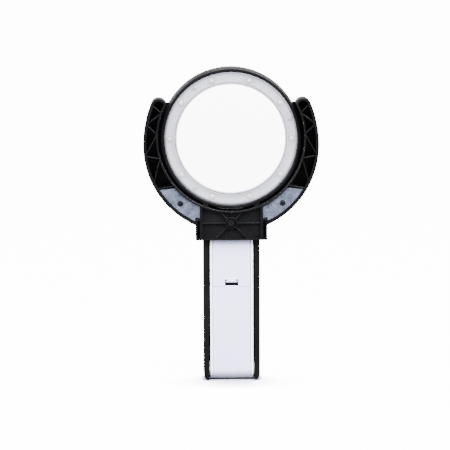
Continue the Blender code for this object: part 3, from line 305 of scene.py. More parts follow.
# A lighter copy of the white plastic, for the column body: painted light, so that the column's side borders
# beside the panel show brighter than the panel and door.
WHITE_PAINTED_LIGHTER = moulded("white_plastic_painted_lighter", (0.90, 0.91, 0.98), (0.94, 0.94, 0.99), 0.26, 0.38, 2400, 0.08)
FROSTED = frosted()
CLEAR = lens_clear()
ZINC = zinc_plate()
DARK_STEEL = worked_metal(
    "blackened_steel", (0.012, 0.012, 0.016), (0.03, 0.03, 0.036), 0.3, 0.5, (1, 1, 1), 0.2
)
BRIGHT_STEEL = worked_metal(
    "bright_steel", (0.50, 0.50, 0.52), (0.66, 0.66, 0.67), 0.16, 0.36, (0.1, 1, 1), 0.25
)
NICKEL = worked_metal("nickel_plate", (0.60, 0.56, 0.48), (0.72, 0.69, 0.62), 0.2, 0.38, (1, 1, 0.1), 0.2)
BOARD = moulded("white_solder_mask", (0.46, 0.47, 0.50), (0.54, 0.55, 0.58), 0.35, 0.5, 1500, 0.15)
LED_CASE = moulded("led_case", (0.20, 0.20, 0.19), (0.27, 0.27, 0.25), 0.25, 0.35, 3000, 0.05)
PHOSPHOR = moulded("led_phosphor", (0.72, 0.66, 0.40), (0.82, 0.76, 0.50), 0.12, 0.22, 2500, 0.08)
SWITCH = moulded("switch_plastic", (0.045, 0.045, 0.05), (0.065, 0.065, 0.07), 0.40, 0.55, 2400, 0.25)
RED_LEAD = moulded("red_lead_sleeve", (0.40, 0.015, 0.015), (0.52, 0.03, 0.025), 0.35, 0.5, 1200, 0.1)
BLACK_LEAD = moulded("black_lead_sleeve", (0.01, 0.01, 0.01), (0.02, 0.02, 0.02), 0.35, 0.5, 1200, 0.1)
ACETAL = moulded("washer_acetal", (0.52, 0.52, 0.48), (0.62, 0.62, 0.58), 0.4, 0.55, 1500, 0.1)
SLEEVE = cell_sleeve()

# ---- modelling helpers


def arc(centre, radius, start, end, count):
    """Points on a circle from the angle start to end, in degrees, both ends included."""
    angles = [math.radians(start + (end - start) * k / count) for k in range(count + 1)]
    return [(centre[0] + radius * math.cos(a), centre[1] + radius * math.sin(a)) for a in angles]


def angle_at(radius, x):
    """The angle below the horizontal at which a circle of this radius passes x, in degrees."""
    return -math.degrees(math.acos(x / radius))


def rectangle(low_u, high_u, low_v, high_v):
    return [(low_u, low_v), (high_u, low_v), (high_u, high_v), (low_u, high_v)]


def mirrored(outline, side):
    return [(side * u, v) for u, v in outline]


def rounded(outline, radius, count=3):
    """The outline with every corner replaced by a short curve."""
    points = []
    for k, corner in enumerate(outline):
        here = Vector(corner)
        before = Vector(outline[k - 1]) - here
        after = Vector(outline[(k + 1) % len(outline)]) - here
        start = here + before * min(0.45, radius / before.length)
        end = here + after * min(0.45, radius / after.length)
        for n in range(count + 1):
            t = n / count
            points.append(tuple(start * (1 - t) ** 2 + here * 2 * t * (1 - t) + end * t**2))
    return points


def finished(name, mesh, matrix):
    """A linked object from a mesh, welded, facing out and smooth but for its real edges."""
    solid = bmesh.new()
    solid.from_mesh(mesh)
    solid.transform(matrix)
    bmesh.ops.remove_doubles(solid, verts=solid.verts, dist=1e-6)
    bmesh.ops.recalc_face_normals(solid, faces=solid.faces)
    solid.to_mesh(mesh)
    solid.free()
    mesh.shade_smooth()
    mesh.set_sharp_from_angle(angle=SMOOTH_ANGLE)
    obj = bpy.data.objects.new(name, mesh)
    bpy.context.scene.collection.objects.link(obj)
    return obj


def evaluated_mesh(obj):
    bpy.context.view_layer.update()
    graph = bpy.context.evaluated_depsgraph_get()
    return bpy.data.meshes.new_from_object(obj.evaluated_get(graph))


def plate(name, outline, low, high, plane=FRONT_PLANE, edge=0.0):
    """A flat outline given thickness, with its edges rounded by edge: (x, z) along y, or (y, z) along x."""
    curve = bpy.data.curves.new(name, "CURVE")
    curve.dimensions = "2D"
    curve.fill_mode = "BOTH"
    curve.extrude = (high - low) / 2 - edge
    curve.bevel_depth = edge
    curve.bevel_resolution = 2
    curve.offset = -edge
    spline = curve.splines.new("POLY")
    spline.points.add(len(outline) - 1)
    for point, (u, v) in zip(spline.points, outline):
        point.co = (u, v, 0, 1)
    spline.use_cyclic_u = True
    drawn = bpy.data.objects.new(name, curve)
    bpy.context.scene.collection.objects.link(drawn)
    mesh = evaluated_mesh(drawn)
    bpy.data.objects.remove(drawn, do_unlink=True)
    centre = (low + high) / 2
    offset = (0, centre, 0) if plane is FRONT_PLANE else (centre, 0, 0)
    return finished(name, mesh, Matrix.Translation(offset) @ plane)


def turned(name, profile, centre, direction, steps=FINE_STEPS, closed=False):
    """A profile of (radius, height along the axis) turned about an axis through centre."""
    count = len(profile)
    points = []
    for s in range(steps):
        angle = 2 * math.pi * s / steps
        points += [(r * math.cos(angle), r * math.sin(angle), h) for r, h in profile]
    faces = []
    for s in range(steps):
        here = s * count
        there = (s + 1) % steps * count
        for k in range(count if closed else count - 1):
            after = (k + 1) % count
            faces.append((here + k, here + after, there + after, there + k))
    mesh = bpy.data.meshes.new(name)
    mesh.from_pydata(points, [], faces)
    return finished(name, mesh, Matrix.Translation(centre) @ direction)


def rod(name, radius, low, high, centre, direction, steps=HOLE_STEPS, edge=0.0):
    """A round bar from low to high along its axis, its ends' edges rounded by edge."""
    if edge:
        top = arc((radius - edge, high - edge), edge, 90, 0, 3)
        foot = arc((radius - edge, low + edge), edge, 0, -90, 3)
        profile = [(0, high)] + top + foot + [(0, low)]
    else:
        profile = [(0, high), (radius, high), (radius, low), (0, low)]
    return turned(name, profile, centre, direction, steps)


def wall(name, start, end, thickness, low, high, edge):
    """An upright rib between two (x, z) points, from y = low to high."""
    length = math.hypot(end[0] - start[0], end[1] - start[1])
    across = (end[1] - start[1]) / length * thickness / 2
    along = (end[0] - start[0]) / length * thickness / 2
    outline = [
        (start[0] + across, start[1] - along),
        (end[0] + across, end[1] - along),
        (end[0] - across, end[1] + along),
        (start[0] - across, start[1] + along),
    ]
    return plate(name, outline, low, high, edge=edge)


def combine(target, tools, operation):
    """Joins or cuts a solid with others, and leaves one mesh."""
    for tool in tools:
        boolean = target.modifiers.new(tool.name, "BOOLEAN")
        boolean.operation = operation
        boolean.solver = "MANIFOLD"
        boolean.object = tool
    mesh = evaluated_mesh(target)
    target.modifiers.clear()
    target.data = mesh
    for tool in tools:
        bpy.data.objects.remove(tool, do_unlink=True)
    return target


def cut(target, *tools):
    return combine(target, tools, "DIFFERENCE")


def join(target, *tools):
    return combine(target, tools, "UNION")


def polish(obj):
    """Sets the shading of a solid after its joins and cuts, so that flat faces look flat."""
    obj.data.shade_smooth()
    obj.data.set_sharp_from_angle(angle=SMOOTH_ANGLE)
    weighted = obj.modifiers.new("flat_faces", "WEIGHTED_NORMAL")
    weighted.keep_sharp = True


def piece(obj, material, body, slot, *nodes):
    """Gives a piece its material and its body, and hides the CAD nodes that it stands for."""
    obj.data.materials.clear()
    obj.data.materials.append(material)
    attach(obj, body)
    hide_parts(*nodes)


def repaint(material, *names):
    for name in names:
        node = NODES[name]
        node.data.materials.clear()
        node.data.materials.append(material)


# ---- lens head

COLLAR_INNER = 50.4 * MM
COLLAR_SEAT = LENS_RADIUS + GAP
COLLAR_OUTER = COLLAR_SEAT + 1.6 * MM
WEB_FRONT = LED_COVER_HIGH.y + GAP
WEB_BACK = WEB_FRONT + 1.8 * MM
LENS_FRONT = 4.6 * MM
LENS_BACK = LENS_FRONT + 2.0 * MM
LENS_CURVE = 275 * MM
RIM_NECK = RIM_RADIUS - 0.4 * MM
RIM_STEP = BASE_HIGH.y + 0.7 * MM
NECK_FILLET = 14 * MM
TONGUE = 1.8 * MM
POCKET_END = 4 * MM
SCREW_SEAT = 9.6 * MM
BOSS_BACK = 11.4 * MM
GRIP_LINES = 9
GRIP_START = 28 * MM
GRIP_STEP = 5 * MM
HANDLE_SCREWS = [middle(f"handle_screw_{k}") for k in (1, 2, 3, 4)]


def handle_outline():
    """The handle from the front: square at the head, with long round corners at the far end."""
    quarter = arc((0, 0), 1, 0, -90, 14)
    straight_half = HANDLE_HALF - CORNER_WIDTH
    right = [(straight_half + u * CORNER_WIDTH, CORNER_HEIGHT * (1 + v)) for u, v in quarter]
    left = [(-x, z) for x, z in reversed(right)]
    return [(HANDLE_HALF, NECK_TOP)] + right + left + [(-HANDLE_HALF, NECK_TOP)]


def neck_fillets(low, high, edge):
    """The concave corners between the handle's sides and the ring, behind the base."""
    centre_x = HANDLE_HALF + NECK_FILLET
    centre_z = RING_Z - math.sqrt((RIM_RADIUS + NECK_FILLET) ** 2 - centre_x**2)
    end = math.degrees(math.atan2(RING_Z - centre_z, -centre_x))
    curve = arc((centre_x, centre_z), NECK_FILLET, 180, end, 10)
    inside_x = HANDLE_HALF - 2 * MM
    outline = curve + [(inside_x, centre_z + NECK_FILLET + 2 * MM), (inside_x, centre_z)]
    return [
        plate(f"fillet_{name}", mirrored(outline, side), low, high, edge=edge) for name, side in SIDES
    ]


def head_frame():
    """The ring wall with its web and lens collar, and the handle's channel, moulded in one."""
    body = plate("head_frame_visual", handle_outline(), HANDLE_FRONT, FRAME_BACK, edge=0.7 * MM)
    trough = rectangle(-CHANNEL_HALF, CHANNEL_HALF, -2 * MM, NECK_TOP + 2 * MM)
    bay = rectangle(-CHANNEL_HALF, CHANNEL_HALF, POCKET_END, NECK_TOP + 2 * MM)
    floor_back = CHANNEL_FLOOR + 1.5 * MM
    tongue_half = HANDLE_HALF - TONGUE
    tongue = rounded(rectangle(-tongue_half, tongue_half, TONGUE, NECK_TOP), 4 * MM)
    cap_seat = CAP_RADIUS + 0.2 * MM
    join(body, plate("seam_tongue", tongue, FRAME_BACK - MM, COVER_SEAM))
    cut(
        body,
        plate("trough", trough, HANDLE_FRONT - 2 * MM, CHANNEL_FLOOR),
        plate("bay", bay, floor_back, FRAME_BACK + 2 * MM),
        rod("bore", RIM_RADIUS - MM, -FAR, FAR, RING_CENTRE, ALONG_Y, FINE_STEPS),
        rod("fold_hole", FOLD_PIN_WAY, -FAR, FAR, (0, *FOLD), ALONG_X),
        rod("cap_seat_left", cap_seat, -FAR, GAP - CAP_SEAT, (0, *FOLD), ALONG_X, ROUND_STEPS),
        rod("cap_seat_right", cap_seat, CAP_SEAT - GAP, FAR, (0, *FOLD), ALONG_X, ROUND_STEPS),
    )
    profile = [
        (RIM_INNER, WEB_FRONT),
        (COLLAR_INNER, WEB_FRONT),
        (COLLAR_INNER, LENS_FRONT - 0.6 * MM),
        (COLLAR_SEAT, LENS_FRONT - 0.6 * MM),
        (COLLAR_SEAT, LENS_BACK + 1.4 * MM),
        (COLLAR_OUTER, LENS_BACK + 1.4 * MM),
        (COLLAR_OUTER, WEB_BACK),
        (RIM_INNER, WEB_BACK),
        (RIM_INNER, COVER_SEAM),
        (RIM_INNER + TONGUE, COVER_SEAM),
        (RIM_INNER + TONGUE, FRAME_BACK),
    ]
    big = 1.5 * MM
    small = 0.8 * MM
    tiny = 0.3 * MM
    outer_front = arc((RIM_NECK - big, RIM_FRONT + big), big, 0, -90, 6)
    inner_front = arc((RIM_INNER + small, RIM_FRONT + small), small, -90, -180, 5)
    seam = arc((RIM_RADIUS - tiny, FRAME_BACK - tiny), tiny, 90, 0, 2)
    step = [(RIM_RADIUS, RIM_STEP), (RIM_NECK, RIM_STEP - tiny)]
    profile = outer_front + inner_front + profile + seam + step
    join(body, turned("rim", profile, RING_CENTRE, ALONG_Y, closed=True))
    join(body, *neck_fillets(RIM_STEP, FRAME_BACK - 0.1 * MM, 0.2 * MM))
    bosses = []
    ways = []
    for k, (x, _, z) in enumerate(HANDLE_SCREWS):
        bosses.append(rod(f"boss_{k}", 4 * MM, floor_back - 0.5 * MM, BOSS_BACK, (x, 0, z), ALONG_Y))
        ways.append(rod(f"way_{k}", SCREW_WAY, 6 * MM, 14 * MM, (x, 0, z), ALONG_Y))
        ways.append(rod(f"sink_{k}", SCREW_SINK, 6 * MM, SCREW_SEAT, (x, 0, z), ALONG_Y))
    join(body, *bosses)
    cut(body, *ways)
    polish(body)
    piece(body, BLACK, "head", "black_plastic", "head_frame")


def slot_outline(half_width, low, high):
    """An upright slot with round ends."""
    top = arc((0, high - half_width), half_width, 0, 180, 16)
    bottom = arc((0, low + half_width), half_width, 180, 360, 16)
    return top + bottom


def head_cover():
    """The cover on the user's side, with a thumb recess round the switch and grip lines on the handle."""
    body = plate("head_cover_visual", handle_outline(), COVER_SEAM, TOPSIDE, edge=1.1 * MM)
    lip_inner = COLLAR_INNER - 0.2 * MM
    lip_outer = COLLAR_SEAT - 0.4 * MM
    cut(body, rod("cover_bore", RIM_RADIUS - 3 * MM, 0, FAR, RING_CENTRE, ALONG_Y, FINE_STEPS))
    shoulder = arc((RIM_RADIUS - 1.3 * MM, TOPSIDE - 1.3 * MM), 1.3 * MM, 0, 90, 5)
    slope = [
        (lip_inner + 2.2 * MM, TOPSIDE),
        (lip_inner + 1.6 * MM, TOPSIDE - 0.15 * MM),
        (lip_inner + 0.15 * MM, TOPSIDE - 1.3 * MM),
        (lip_inner, COVER_INSIDE),
    ]
    lip = [(lip_inner, LENS_BACK + 0.6 * MM), (lip_outer, LENS_BACK + 0.6 * MM), (lip_outer, COVER_SEAM)]
    profile = [(RIM_RADIUS, COVER_SEAM)] + shoulder + slope + lip
    join(body, turned("cover_ring", profile, RING_CENTRE, ALONG_Y, closed=True))
    join(body, *neck_fillets(COVER_SEAM + 0.1 * MM, TOPSIDE - 0.1 * MM, 0.9 * MM))
    pocket = rectangle(-CHANNEL_HALF, CHANNEL_HALF, POCKET_END, RING_Z - RIM_RADIUS - 2 * MM)
    recess = slot_outline(6 * MM, SWITCH_Z - 12 * MM, SWITCH_Z + 12 * MM)
    slot = rectangle(-1.8 * MM, 1.8 * MM, SWITCH_Z - 4.4 * MM, SWITCH_Z + 4.4 * MM)
    tools = [
        plate("pocket", pocket, COVER_SEAM - 2 * MM, COVER_INSIDE),
        plate("recess", recess, THUMB_RECESS, TOPSIDE + 2 * MM),
        plate("slot", slot, COVER_INSIDE - 2 * MM, TOPSIDE),
    ]
    for k in range(GRIP_LINES):
        z = GRIP_START + k * GRIP_STEP
        groove = [(v, z - u) for u, v in slot_outline(0.5 * MM, -17 * MM, 17 * MM)]
        tools.append(plate(f"grip_{k}", groove, TOPSIDE - 0.4 * MM, TOPSIDE + MM))
    cut(body, *tools)
    bosses = []
    for k, (x, _, z) in enumerate(HANDLE_SCREWS):
        root = COVER_INSIDE + 0.4 * MM
        bosses.append(rod(f"post_{k}", 3.2 * MM, BOSS_BACK + GAP, root, (x, 0, z), ALONG_Y))
    join(body, *bosses)
    polish(body)
    piece(body, BLACK, "head", "black_plastic", "head_cover")


def lens():
    """A double-convex lens: two spherical faces and a narrow chamfered edge."""
    rise = LENS_CURVE - math.sqrt(LENS_CURVE**2 - LENS_RADIUS**2)
    count = 24
    radii = [(LENS_RADIUS - GAP) * k / count for k in range(count + 1)]
    drop = [LENS_CURVE - math.sqrt(LENS_CURVE**2 - r**2) for r in radii]
    back = [(r, LENS_BACK + rise - d) for r, d in zip(radii, drop)]
    front = [(r, LENS_FRONT - rise + d) for r, d in zip(radii, drop)]
    edge = [(LENS_RADIUS, LENS_BACK - 0.25 * MM), (LENS_RADIUS, LENS_FRONT + 0.25 * MM)]
    body = turned("lens_visual", back + edge + front[::-1], RING_CENTRE, ALONG_Y)
    piece(body, CLEAR, "head", "lens", "lens")


def led_cover():
    """The diffuser ring, with a raised lip at its inner edge and a fine step inside its outer edge."""
    outer = LED_COVER_HIGH.x
    inner = WINDOW_RADIUS
    skirt = 1.2 * MM
    face = LED_COVER_LOW.y
    dish = face + 1.2 * MM
    outline = [
        (outer, face + 0.35 * MM),
        (outer, WEB_FRONT - GAP),
        (outer - skirt, WEB_FRONT - GAP),
        (outer - skirt, face + skirt),
        (inner + 3.2 * MM, dish + 0.5 * MM),
        (inner + skirt, dish + 0.7 * MM),
        (inner + skirt, WEB_FRONT - 0.5 * MM),
        (inner, WEB_FRONT - 0.5 * MM),
        (inner, dish - 0.5 * MM),
        (inner + 1.1 * MM, dish - 0.5 * MM),
        (inner + 1.2 * MM, dish + 0.45 * MM),
        (inner + 1.7 * MM, dish + 0.45 * MM),
        (inner + 1.8 * MM, dish - 0.2 * MM),
        (outer - 1.8 * MM, face + 0.45 * MM),
        (outer - 1.5 * MM, face),
        (outer - 0.4 * MM, face),
    ]
    body = turned("led_cover_visual", rounded(outline, 0.14 * MM, 2), RING_CENTRE, ALONG_Y, closed=True)
    piece(body, FROSTED, "head", "frosted_plastic", "led_cover")


def leds():
    """Each LED is a square case with a round cup of phosphor."""
    for k in range(1, 11):
        node = f"led_{k:02d}"
        low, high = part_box(node)
        centre = (low + high) / 2
        half = (high.x - low.x) / 2
        case_front = high.y - 0.8 * MM
        outline = rounded(rectangle(-half, half, -half, half), 0.4 * MM)
        outline = [(centre.x + u, centre.z + v) for u, v in outline]
        case = plate(f"{node}_case", outline, case_front - 0.2 * MM, high.y, edge=0.1 * MM)
        bowl = rod("bowl", 1.9 * MM, case_front - MM, case_front, (centre.x, 0, centre.z), ALONG_Y)
        cut(case, bowl)
        polish(case)
        piece(case, LED_CASE, "head", "led_package", node)
        dome = [
            (0, -0.45 * MM),
            (0.9 * MM, -0.4 * MM),
            (1.6 * MM, -0.2 * MM),
            (1.85 * MM, 0.05 * MM),
            (0, 0.05 * MM),
        ]
        fill = turned(f"{node}_phosphor", dome, (centre.x, case_front - 0.05 * MM, centre.z), ALONG_Y, 32)
        piece(fill, PHOSPHOR, "head", "led_package", node)


# ---- screws, pins and other hardware

THREAD_PITCH = 0.5 * MM
CROSS_HALF = 0.32 * MM
WASHER_INNER_FACE = 19.5 * MM
WASHER_OUTER_FACE = 20.2 * MM
WASHER_RADIUS = 7 * MM


def cross_screw(node, material, slot, body, head_radius, head_height, shank_radius, facing=-1):
    """A pan-head screw with a cross recess. facing -1 has its head towards -Y, and 1 towards +Y."""
    low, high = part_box(node)
    centre = (low + high) / 2
    length = high.y - low.y
    turn = ALONG_Y if facing == 1 else Matrix.Rotation(math.radians(180), 4, "X") @ ALONG_Y
    head_top = high.y if facing == 1 else low.y
    dome = arc((head_radius - 0.5 * MM, -0.5 * MM), 0.5 * MM, 90, 0, 4)
    profile = [(0, 0)] + dome
    profile += [(head_radius, -head_height), (shank_radius, -head_height)]
    turns = int((length - head_height - 0.8 * MM) / THREAD_PITCH)
    for k in range(max(turns, 0)):
        h = -head_height - 0.3 * MM - THREAD_PITCH * k
        profile += [(shank_radius * 0.82, h), (shank_radius, h - 0.25 * MM)]
    profile += [(shank_radius * 0.7, -length), (0, -length)]
    screw = turned(f"{node}_visual", profile, (centre.x, head_top, centre.z), turn, 32)
    depth = min(0.9 * MM, head_height * 0.7)
    arm = head_radius * 0.62
    slots = []
    for k, (half_x, half_z) in enumerate(((arm, CROSS_HALF), (CROSS_HALF, arm))):
        outline = rectangle(centre.x - half_x, centre.x + half_x, centre.z - half_z, centre.z + half_z)
        near, far = sorted((head_top + facing * MM, head_top - facing * depth))
        slots.append(plate(f"cross_{k}", outline, near, far))
    cut(screw, *slots)
    polish(screw)
    piece(screw, material, body, slot, node)


def hardware():
    """The screws, the two hinge pins, and the fold pin's caps and friction washers."""
    for name, _ in SIDES:
        cross_screw(f"weight_screw_{name}", DARK_STEEL, "dark_steel", "base", 2.3 * MM, 1.5 * MM, 1.2 * MM)
    cross_screw("bracket_screw", DARK_STEEL, "dark_steel", "base", 3.4 * MM, 1.2 * MM, 1.2 * MM)
    for k in (1, 2, 3, 4):
        cross_screw(f"handle_screw_{k}", BRIGHT_STEEL, "bright_steel", "head", 2.4 * MM, 0.8 * MM, 1.2 * MM)
    for k in (1, 2, 3):
        cross_screw(f"board_screw_{k}", BRIGHT_STEEL, "bright_steel", "head", 2.0 * MM, 0.9 * MM, 1.0 * MM)
    for k in (1, 2):
        node = f"column_screw_{k}"
        cross_screw(node, BRIGHT_STEEL, "bright_steel", "column", 2.4 * MM, 0.6 * MM, 1.2 * MM, facing=1)
    for node, body, centre in (("fold_pin", "head", FOLD), ("base_pin", "base", BASE_PIVOT)):
        low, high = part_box(node)
        radius = (high.z - low.z) / 2
        pin = rod(f"{node}_visual", radius, low.x, high.x, (0, *centre), ALONG_X, 48, 0.3 * MM)
        piece(pin, BRIGHT_STEEL, body, "bright_steel", node)
    for name, side in SIDES:
        turn = ALONG_X if side == 1 else Matrix.Rotation(math.radians(180), 4, "Z") @ ALONG_X
        dish = [(0, CAP_FACE - 0.35 * MM), (2.2 * MM, CAP_FACE - 0.3 * MM), (2.7 * MM, CAP_FACE)]
        shoulder = arc((CAP_RADIUS - 0.5 * MM, CAP_FACE - 0.5 * MM), 0.5 * MM, 90, 0, 4)
        foot = [(CAP_RADIUS, CAP_SEAT), (2.5 * MM, CAP_SEAT), (2.5 * MM, PIN_HALF), (0, PIN_HALF)]
        cap = turned(f"pivot_cap_{name}_visual", dish + shoulder + foot, (0, *FOLD), turn, ROUND_STEPS)
        piece(cap, BLACK, "head", "black_plastic", f"pivot_cap_{name}")
        ring = [
            (WASHER_RADIUS, WASHER_OUTER_FACE),
            (WASHER_RADIUS, WASHER_INNER_FACE),
            (FOLD_PIN_WAY, WASHER_INNER_FACE),
            (FOLD_PIN_WAY, WASHER_OUTER_FACE),
        ]
        ring = rounded(ring, 0.12 * MM)
        washer = turned(f"friction_washer_{name}_visual", ring, (0, *FOLD), turn, ROUND_STEPS, closed=True)
        piece(washer, ACETAL, "head", "washer_plastic", f"friction_washer_{name}")


# ---- switch knob


def switch_knob():
    """The ridged slider, with a stem through the cover's slot and a foot behind it."""
    low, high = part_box("switch_knob")
    centre_z = (low.z + high.z) / 2
    ridge_step = 1.2 * MM
    button = rounded(rectangle(-2.4 * MM, 2.4 * MM, low.z, high.z), 0.5 * MM)
    low_y = THUMB_RECESS + 0.2 * MM
    knob = plate("switch_knob_visual", button, low_y, TOPSIDE - 0.1 * MM, edge=0.15 * MM)
    stem = rectangle(-1.4 * MM, 1.4 * MM, centre_z - 1.6 * MM, centre_z + 1.6 * MM)
    foot = rectangle(-3 * MM, 3 * MM, centre_z - 2.6 * MM, centre_z + 2.6 * MM)
    join(
        knob,
        plate("stem", stem, COVER_INSIDE - 0.6 * MM, THUMB_RECESS + 0.4 * MM),
        plate("foot", foot, COVER_INSIDE - 1.0 * MM, COVER_INSIDE - GAP),
    )
    grooves = []
    for k in range(5):
        z = centre_z + (k - 2) * ridge_step
        outline = rectangle(-4 * MM, 4 * MM, z - 0.25 * MM, z + 0.25 * MM)
        grooves.append(plate(f"groove_{k}", outline, TOPSIDE - 0.4 * MM, TOPSIDE + MM))
    cut(knob, *grooves)
    polish(knob)
    piece(knob, SWITCH, "switch", "switch_plastic", "switch_knob")


# ---- battery column and door

COLUMN_HALF = COLUMN_HIGH.x
HALF_DEPTH = 9.0 * MM
COLUMN_FRONT = COLUMN_LOW.y
COLUMN_BACK = COLUMN_HIGH.y
BAY_HALF = 17.3 * MM
PANEL_HALF = PANEL_HIGH.x - 0.2 * MM
PANEL = 1.8 * MM
BAY_BACK = COLUMN_BACK - 1.8 * MM
BAY_BOTTOM = 17.5 * MM
BAY_TOP = 129.5 * MM
STEP_Z = 131.0 * MM
SHOULDER_Z = BASE_PIVOT[1] - 6.5 * MM
TONGUE_RADIUS = 7.0 * MM
FRONT_STEP = BASE_PIVOT[0] - TONGUE_RADIUS
DOOR_TOP = PANEL_LOW.z - GAP
DOOR_END_ANGLE = 236
LATCH_HALF = 6.1 * MM
LATCH_TOP = 89.1 * MM
LATCH_HOOK = (90.2 * MM, 91.5 * MM)
SCOOP = (92.4 * MM, 96.6 * MM)
COLUMN_SCREWS_Z = [middle(f"column_screw_{k}").z for k in (1, 2)]


def column_body():
    """The white column: a long tray for the cells, round at the fold pin, with a tongue for the base."""
    round_end = arc(FOLD, HALF_DEPTH, 180, 360, 40)
    outline = round_end + [
        (COLUMN_BACK, SHOULDER_Z),
        (FRONT_STEP, SHOULDER_Z),
        (FRONT_STEP, STEP_Z),
        (COLUMN_FRONT, STEP_Z),
    ]
    under_panel = FRONT_STEP + 0.1 * MM
    body = plate("column_body_visual", outline, -COLUMN_HALF, COLUMN_HALF, SIDE_PLANE, 0.6 * MM)
    tongue = arc(BASE_PIVOT, TONGUE_RADIUS, 0, 180, 30)
    tongue += [(FRONT_STEP, BAY_TOP + MM), (BASE_PIVOT[0] + TONGUE_RADIUS, BAY_TOP + MM)]
    join(body, plate("tongue", tongue, -12.2 * MM, 12.2 * MM, SIDE_PLANE, 0.5 * MM))
    beyond = COLUMN_FRONT - 3 * MM
    outer = arc(FOLD, HALF_DEPTH + 3 * MM, 180, 240, 12)
    inner = arc(FOLD, HALF_DEPTH - PANEL - GAP, 240, 180, 12)
    seat = [(beyond, BAY_BOTTOM + MM)] + outer + inner + [(under_panel, BAY_BOTTOM + MM)]
    bay = rectangle(beyond, BAY_BACK, BAY_BOTTOM, BAY_TOP)
    opening = rectangle(beyond, under_panel, BAY_BOTTOM, STEP_Z + MM)
    cut(
        body,
        plate("bay", bay, -BAY_HALF, BAY_HALF, SIDE_PLANE),
        plate("seat", seat, -BAY_HALF, BAY_HALF, SIDE_PLANE),
        plate("opening", opening, -BAY_HALF, BAY_HALF, SIDE_PLANE),
    )
    wide = BAY_HALF + 0.5 * MM
    rib_back = BAY_BACK + 0.5 * MM
    divider = rectangle(under_panel, rib_back, 76 * MM, 77.2 * MM)
    ribs = [plate("divider", divider, -wide, wide, SIDE_PLANE, 0.1 * MM)]
    cradle_front = middle("battery_cell_2").y + 2.8 * MM
    for name, side in SIDES:
        x = side * 5.6 * MM
        cradle = rectangle(x - 0.5 * MM, x + 0.5 * MM, 27 * MM, 66 * MM)
        ribs.append(plate(f"cradle_{name}", cradle, cradle_front, rib_back, edge=0.2 * MM))
    join(body, *ribs)
    holes = [
        rod("fold_hole", FOLD_PIN_WAY, -FAR, FAR, (0, *FOLD), ALONG_X),
        rod("base_hole", BASE_PIN_WAY, -FAR, FAR, (0, *BASE_PIVOT), ALONG_X),
    ]
    for k, z in enumerate(COLUMN_SCREWS_Z):
        holes.append(rod(f"screw_{k}", SCREW_WAY, BAY_BACK - MM, COLUMN_BACK + MM, (0, 0, z), ALONG_Y))
        holes.append(rod(f"sink_{k}", SCREW_SINK, COLUMN_BACK - MM, COLUMN_BACK + MM, (0, 0, z), ALONG_Y))
    cut(body, *holes)
    polish(body)
    # The lighter copy of the white plastic paints light onto the column's side borders.
    piece(body, WHITE_PAINTED_LIGHTER, "column", "white_plastic", "column_body")


def column_front_cover():
    """The fixed upper panel, with the latch's slot, hooked at both ends, and a finger scoop above it."""
    low = PANEL_LOW.z
    back = COLUMN_FRONT + PANEL
    outline = rectangle(-PANEL_HALF, PANEL_HALF, low, STEP_Z - GAP)
    cover = plate("column_front_cover_visual", outline, COLUMN_FRONT, back, edge=0.25 * MM)
    notch = rectangle(-LATCH_HALF, LATCH_HALF, low - MM, LATCH_TOP)
    scoop_low, scoop_high = SCOOP
    scoop = [
        (COLUMN_FRONT - 0.02 * MM, scoop_high),
        (COLUMN_FRONT + 0.5 * MM, scoop_low + 0.8 * MM),
        (COLUMN_FRONT + 0.1 * MM, scoop_low),
        (COLUMN_FRONT - 2 * MM, scoop_low),
        (COLUMN_FRONT - 2 * MM, scoop_high),
    ]
    tools = [
        plate("notch", notch, COLUMN_FRONT - MM, back + MM),
        plate("scoop", scoop, -6.6 * MM, 6.6 * MM, SIDE_PLANE),
    ]
    hook_low, hook_high = LATCH_HOOK
    hook = [
        (LATCH_HALF, LATCH_TOP - MM),
        (LATCH_HALF, hook_high),
        (3.4 * MM, hook_high),
        (3.4 * MM, hook_low),
        (5.2 * MM, hook_low),
        (5.2 * MM, LATCH_TOP - MM),
    ]
    for name, side in SIDES:
        tools.append(plate(f"hook_{name}", mirrored(hook, side), COLUMN_FRONT - MM, back + MM))
    cut(cover, *tools)
    bosses = []
    for k, z in enumerate(COLUMN_SCREWS_Z):
        bosses.append(rod(f"boss_{k}", 3 * MM, back - 0.5 * MM, BAY_BACK - GAP, (0, 0, z), ALONG_Y))
    join(cover, *bosses)
    polish(cover)
    piece(cover, WHITE, "column", "white_plastic", "column_front_cover")


def slot_shade_plate():
    """A black plate behind the latch's slot, fixed under the panel: painted shade, a dark sheet that stands
    in for the shade inside the slot.
    """
    depth = COLUMN_FRONT + PANEL
    half = LATCH_HALF + 0.7 * MM
    outline = rounded(rectangle(-half, half, DOOR_TOP - 0.6 * MM, LATCH_HOOK[1] + 0.7 * MM), 0.8 * MM)
    shade_plate = plate("slot_shade_plate", outline, depth + 0.1 * MM, depth + 0.9 * MM, edge=0.1 * MM)
    piece(shade_plate, BLACK, "column", "black_plastic", "column_front_cover")


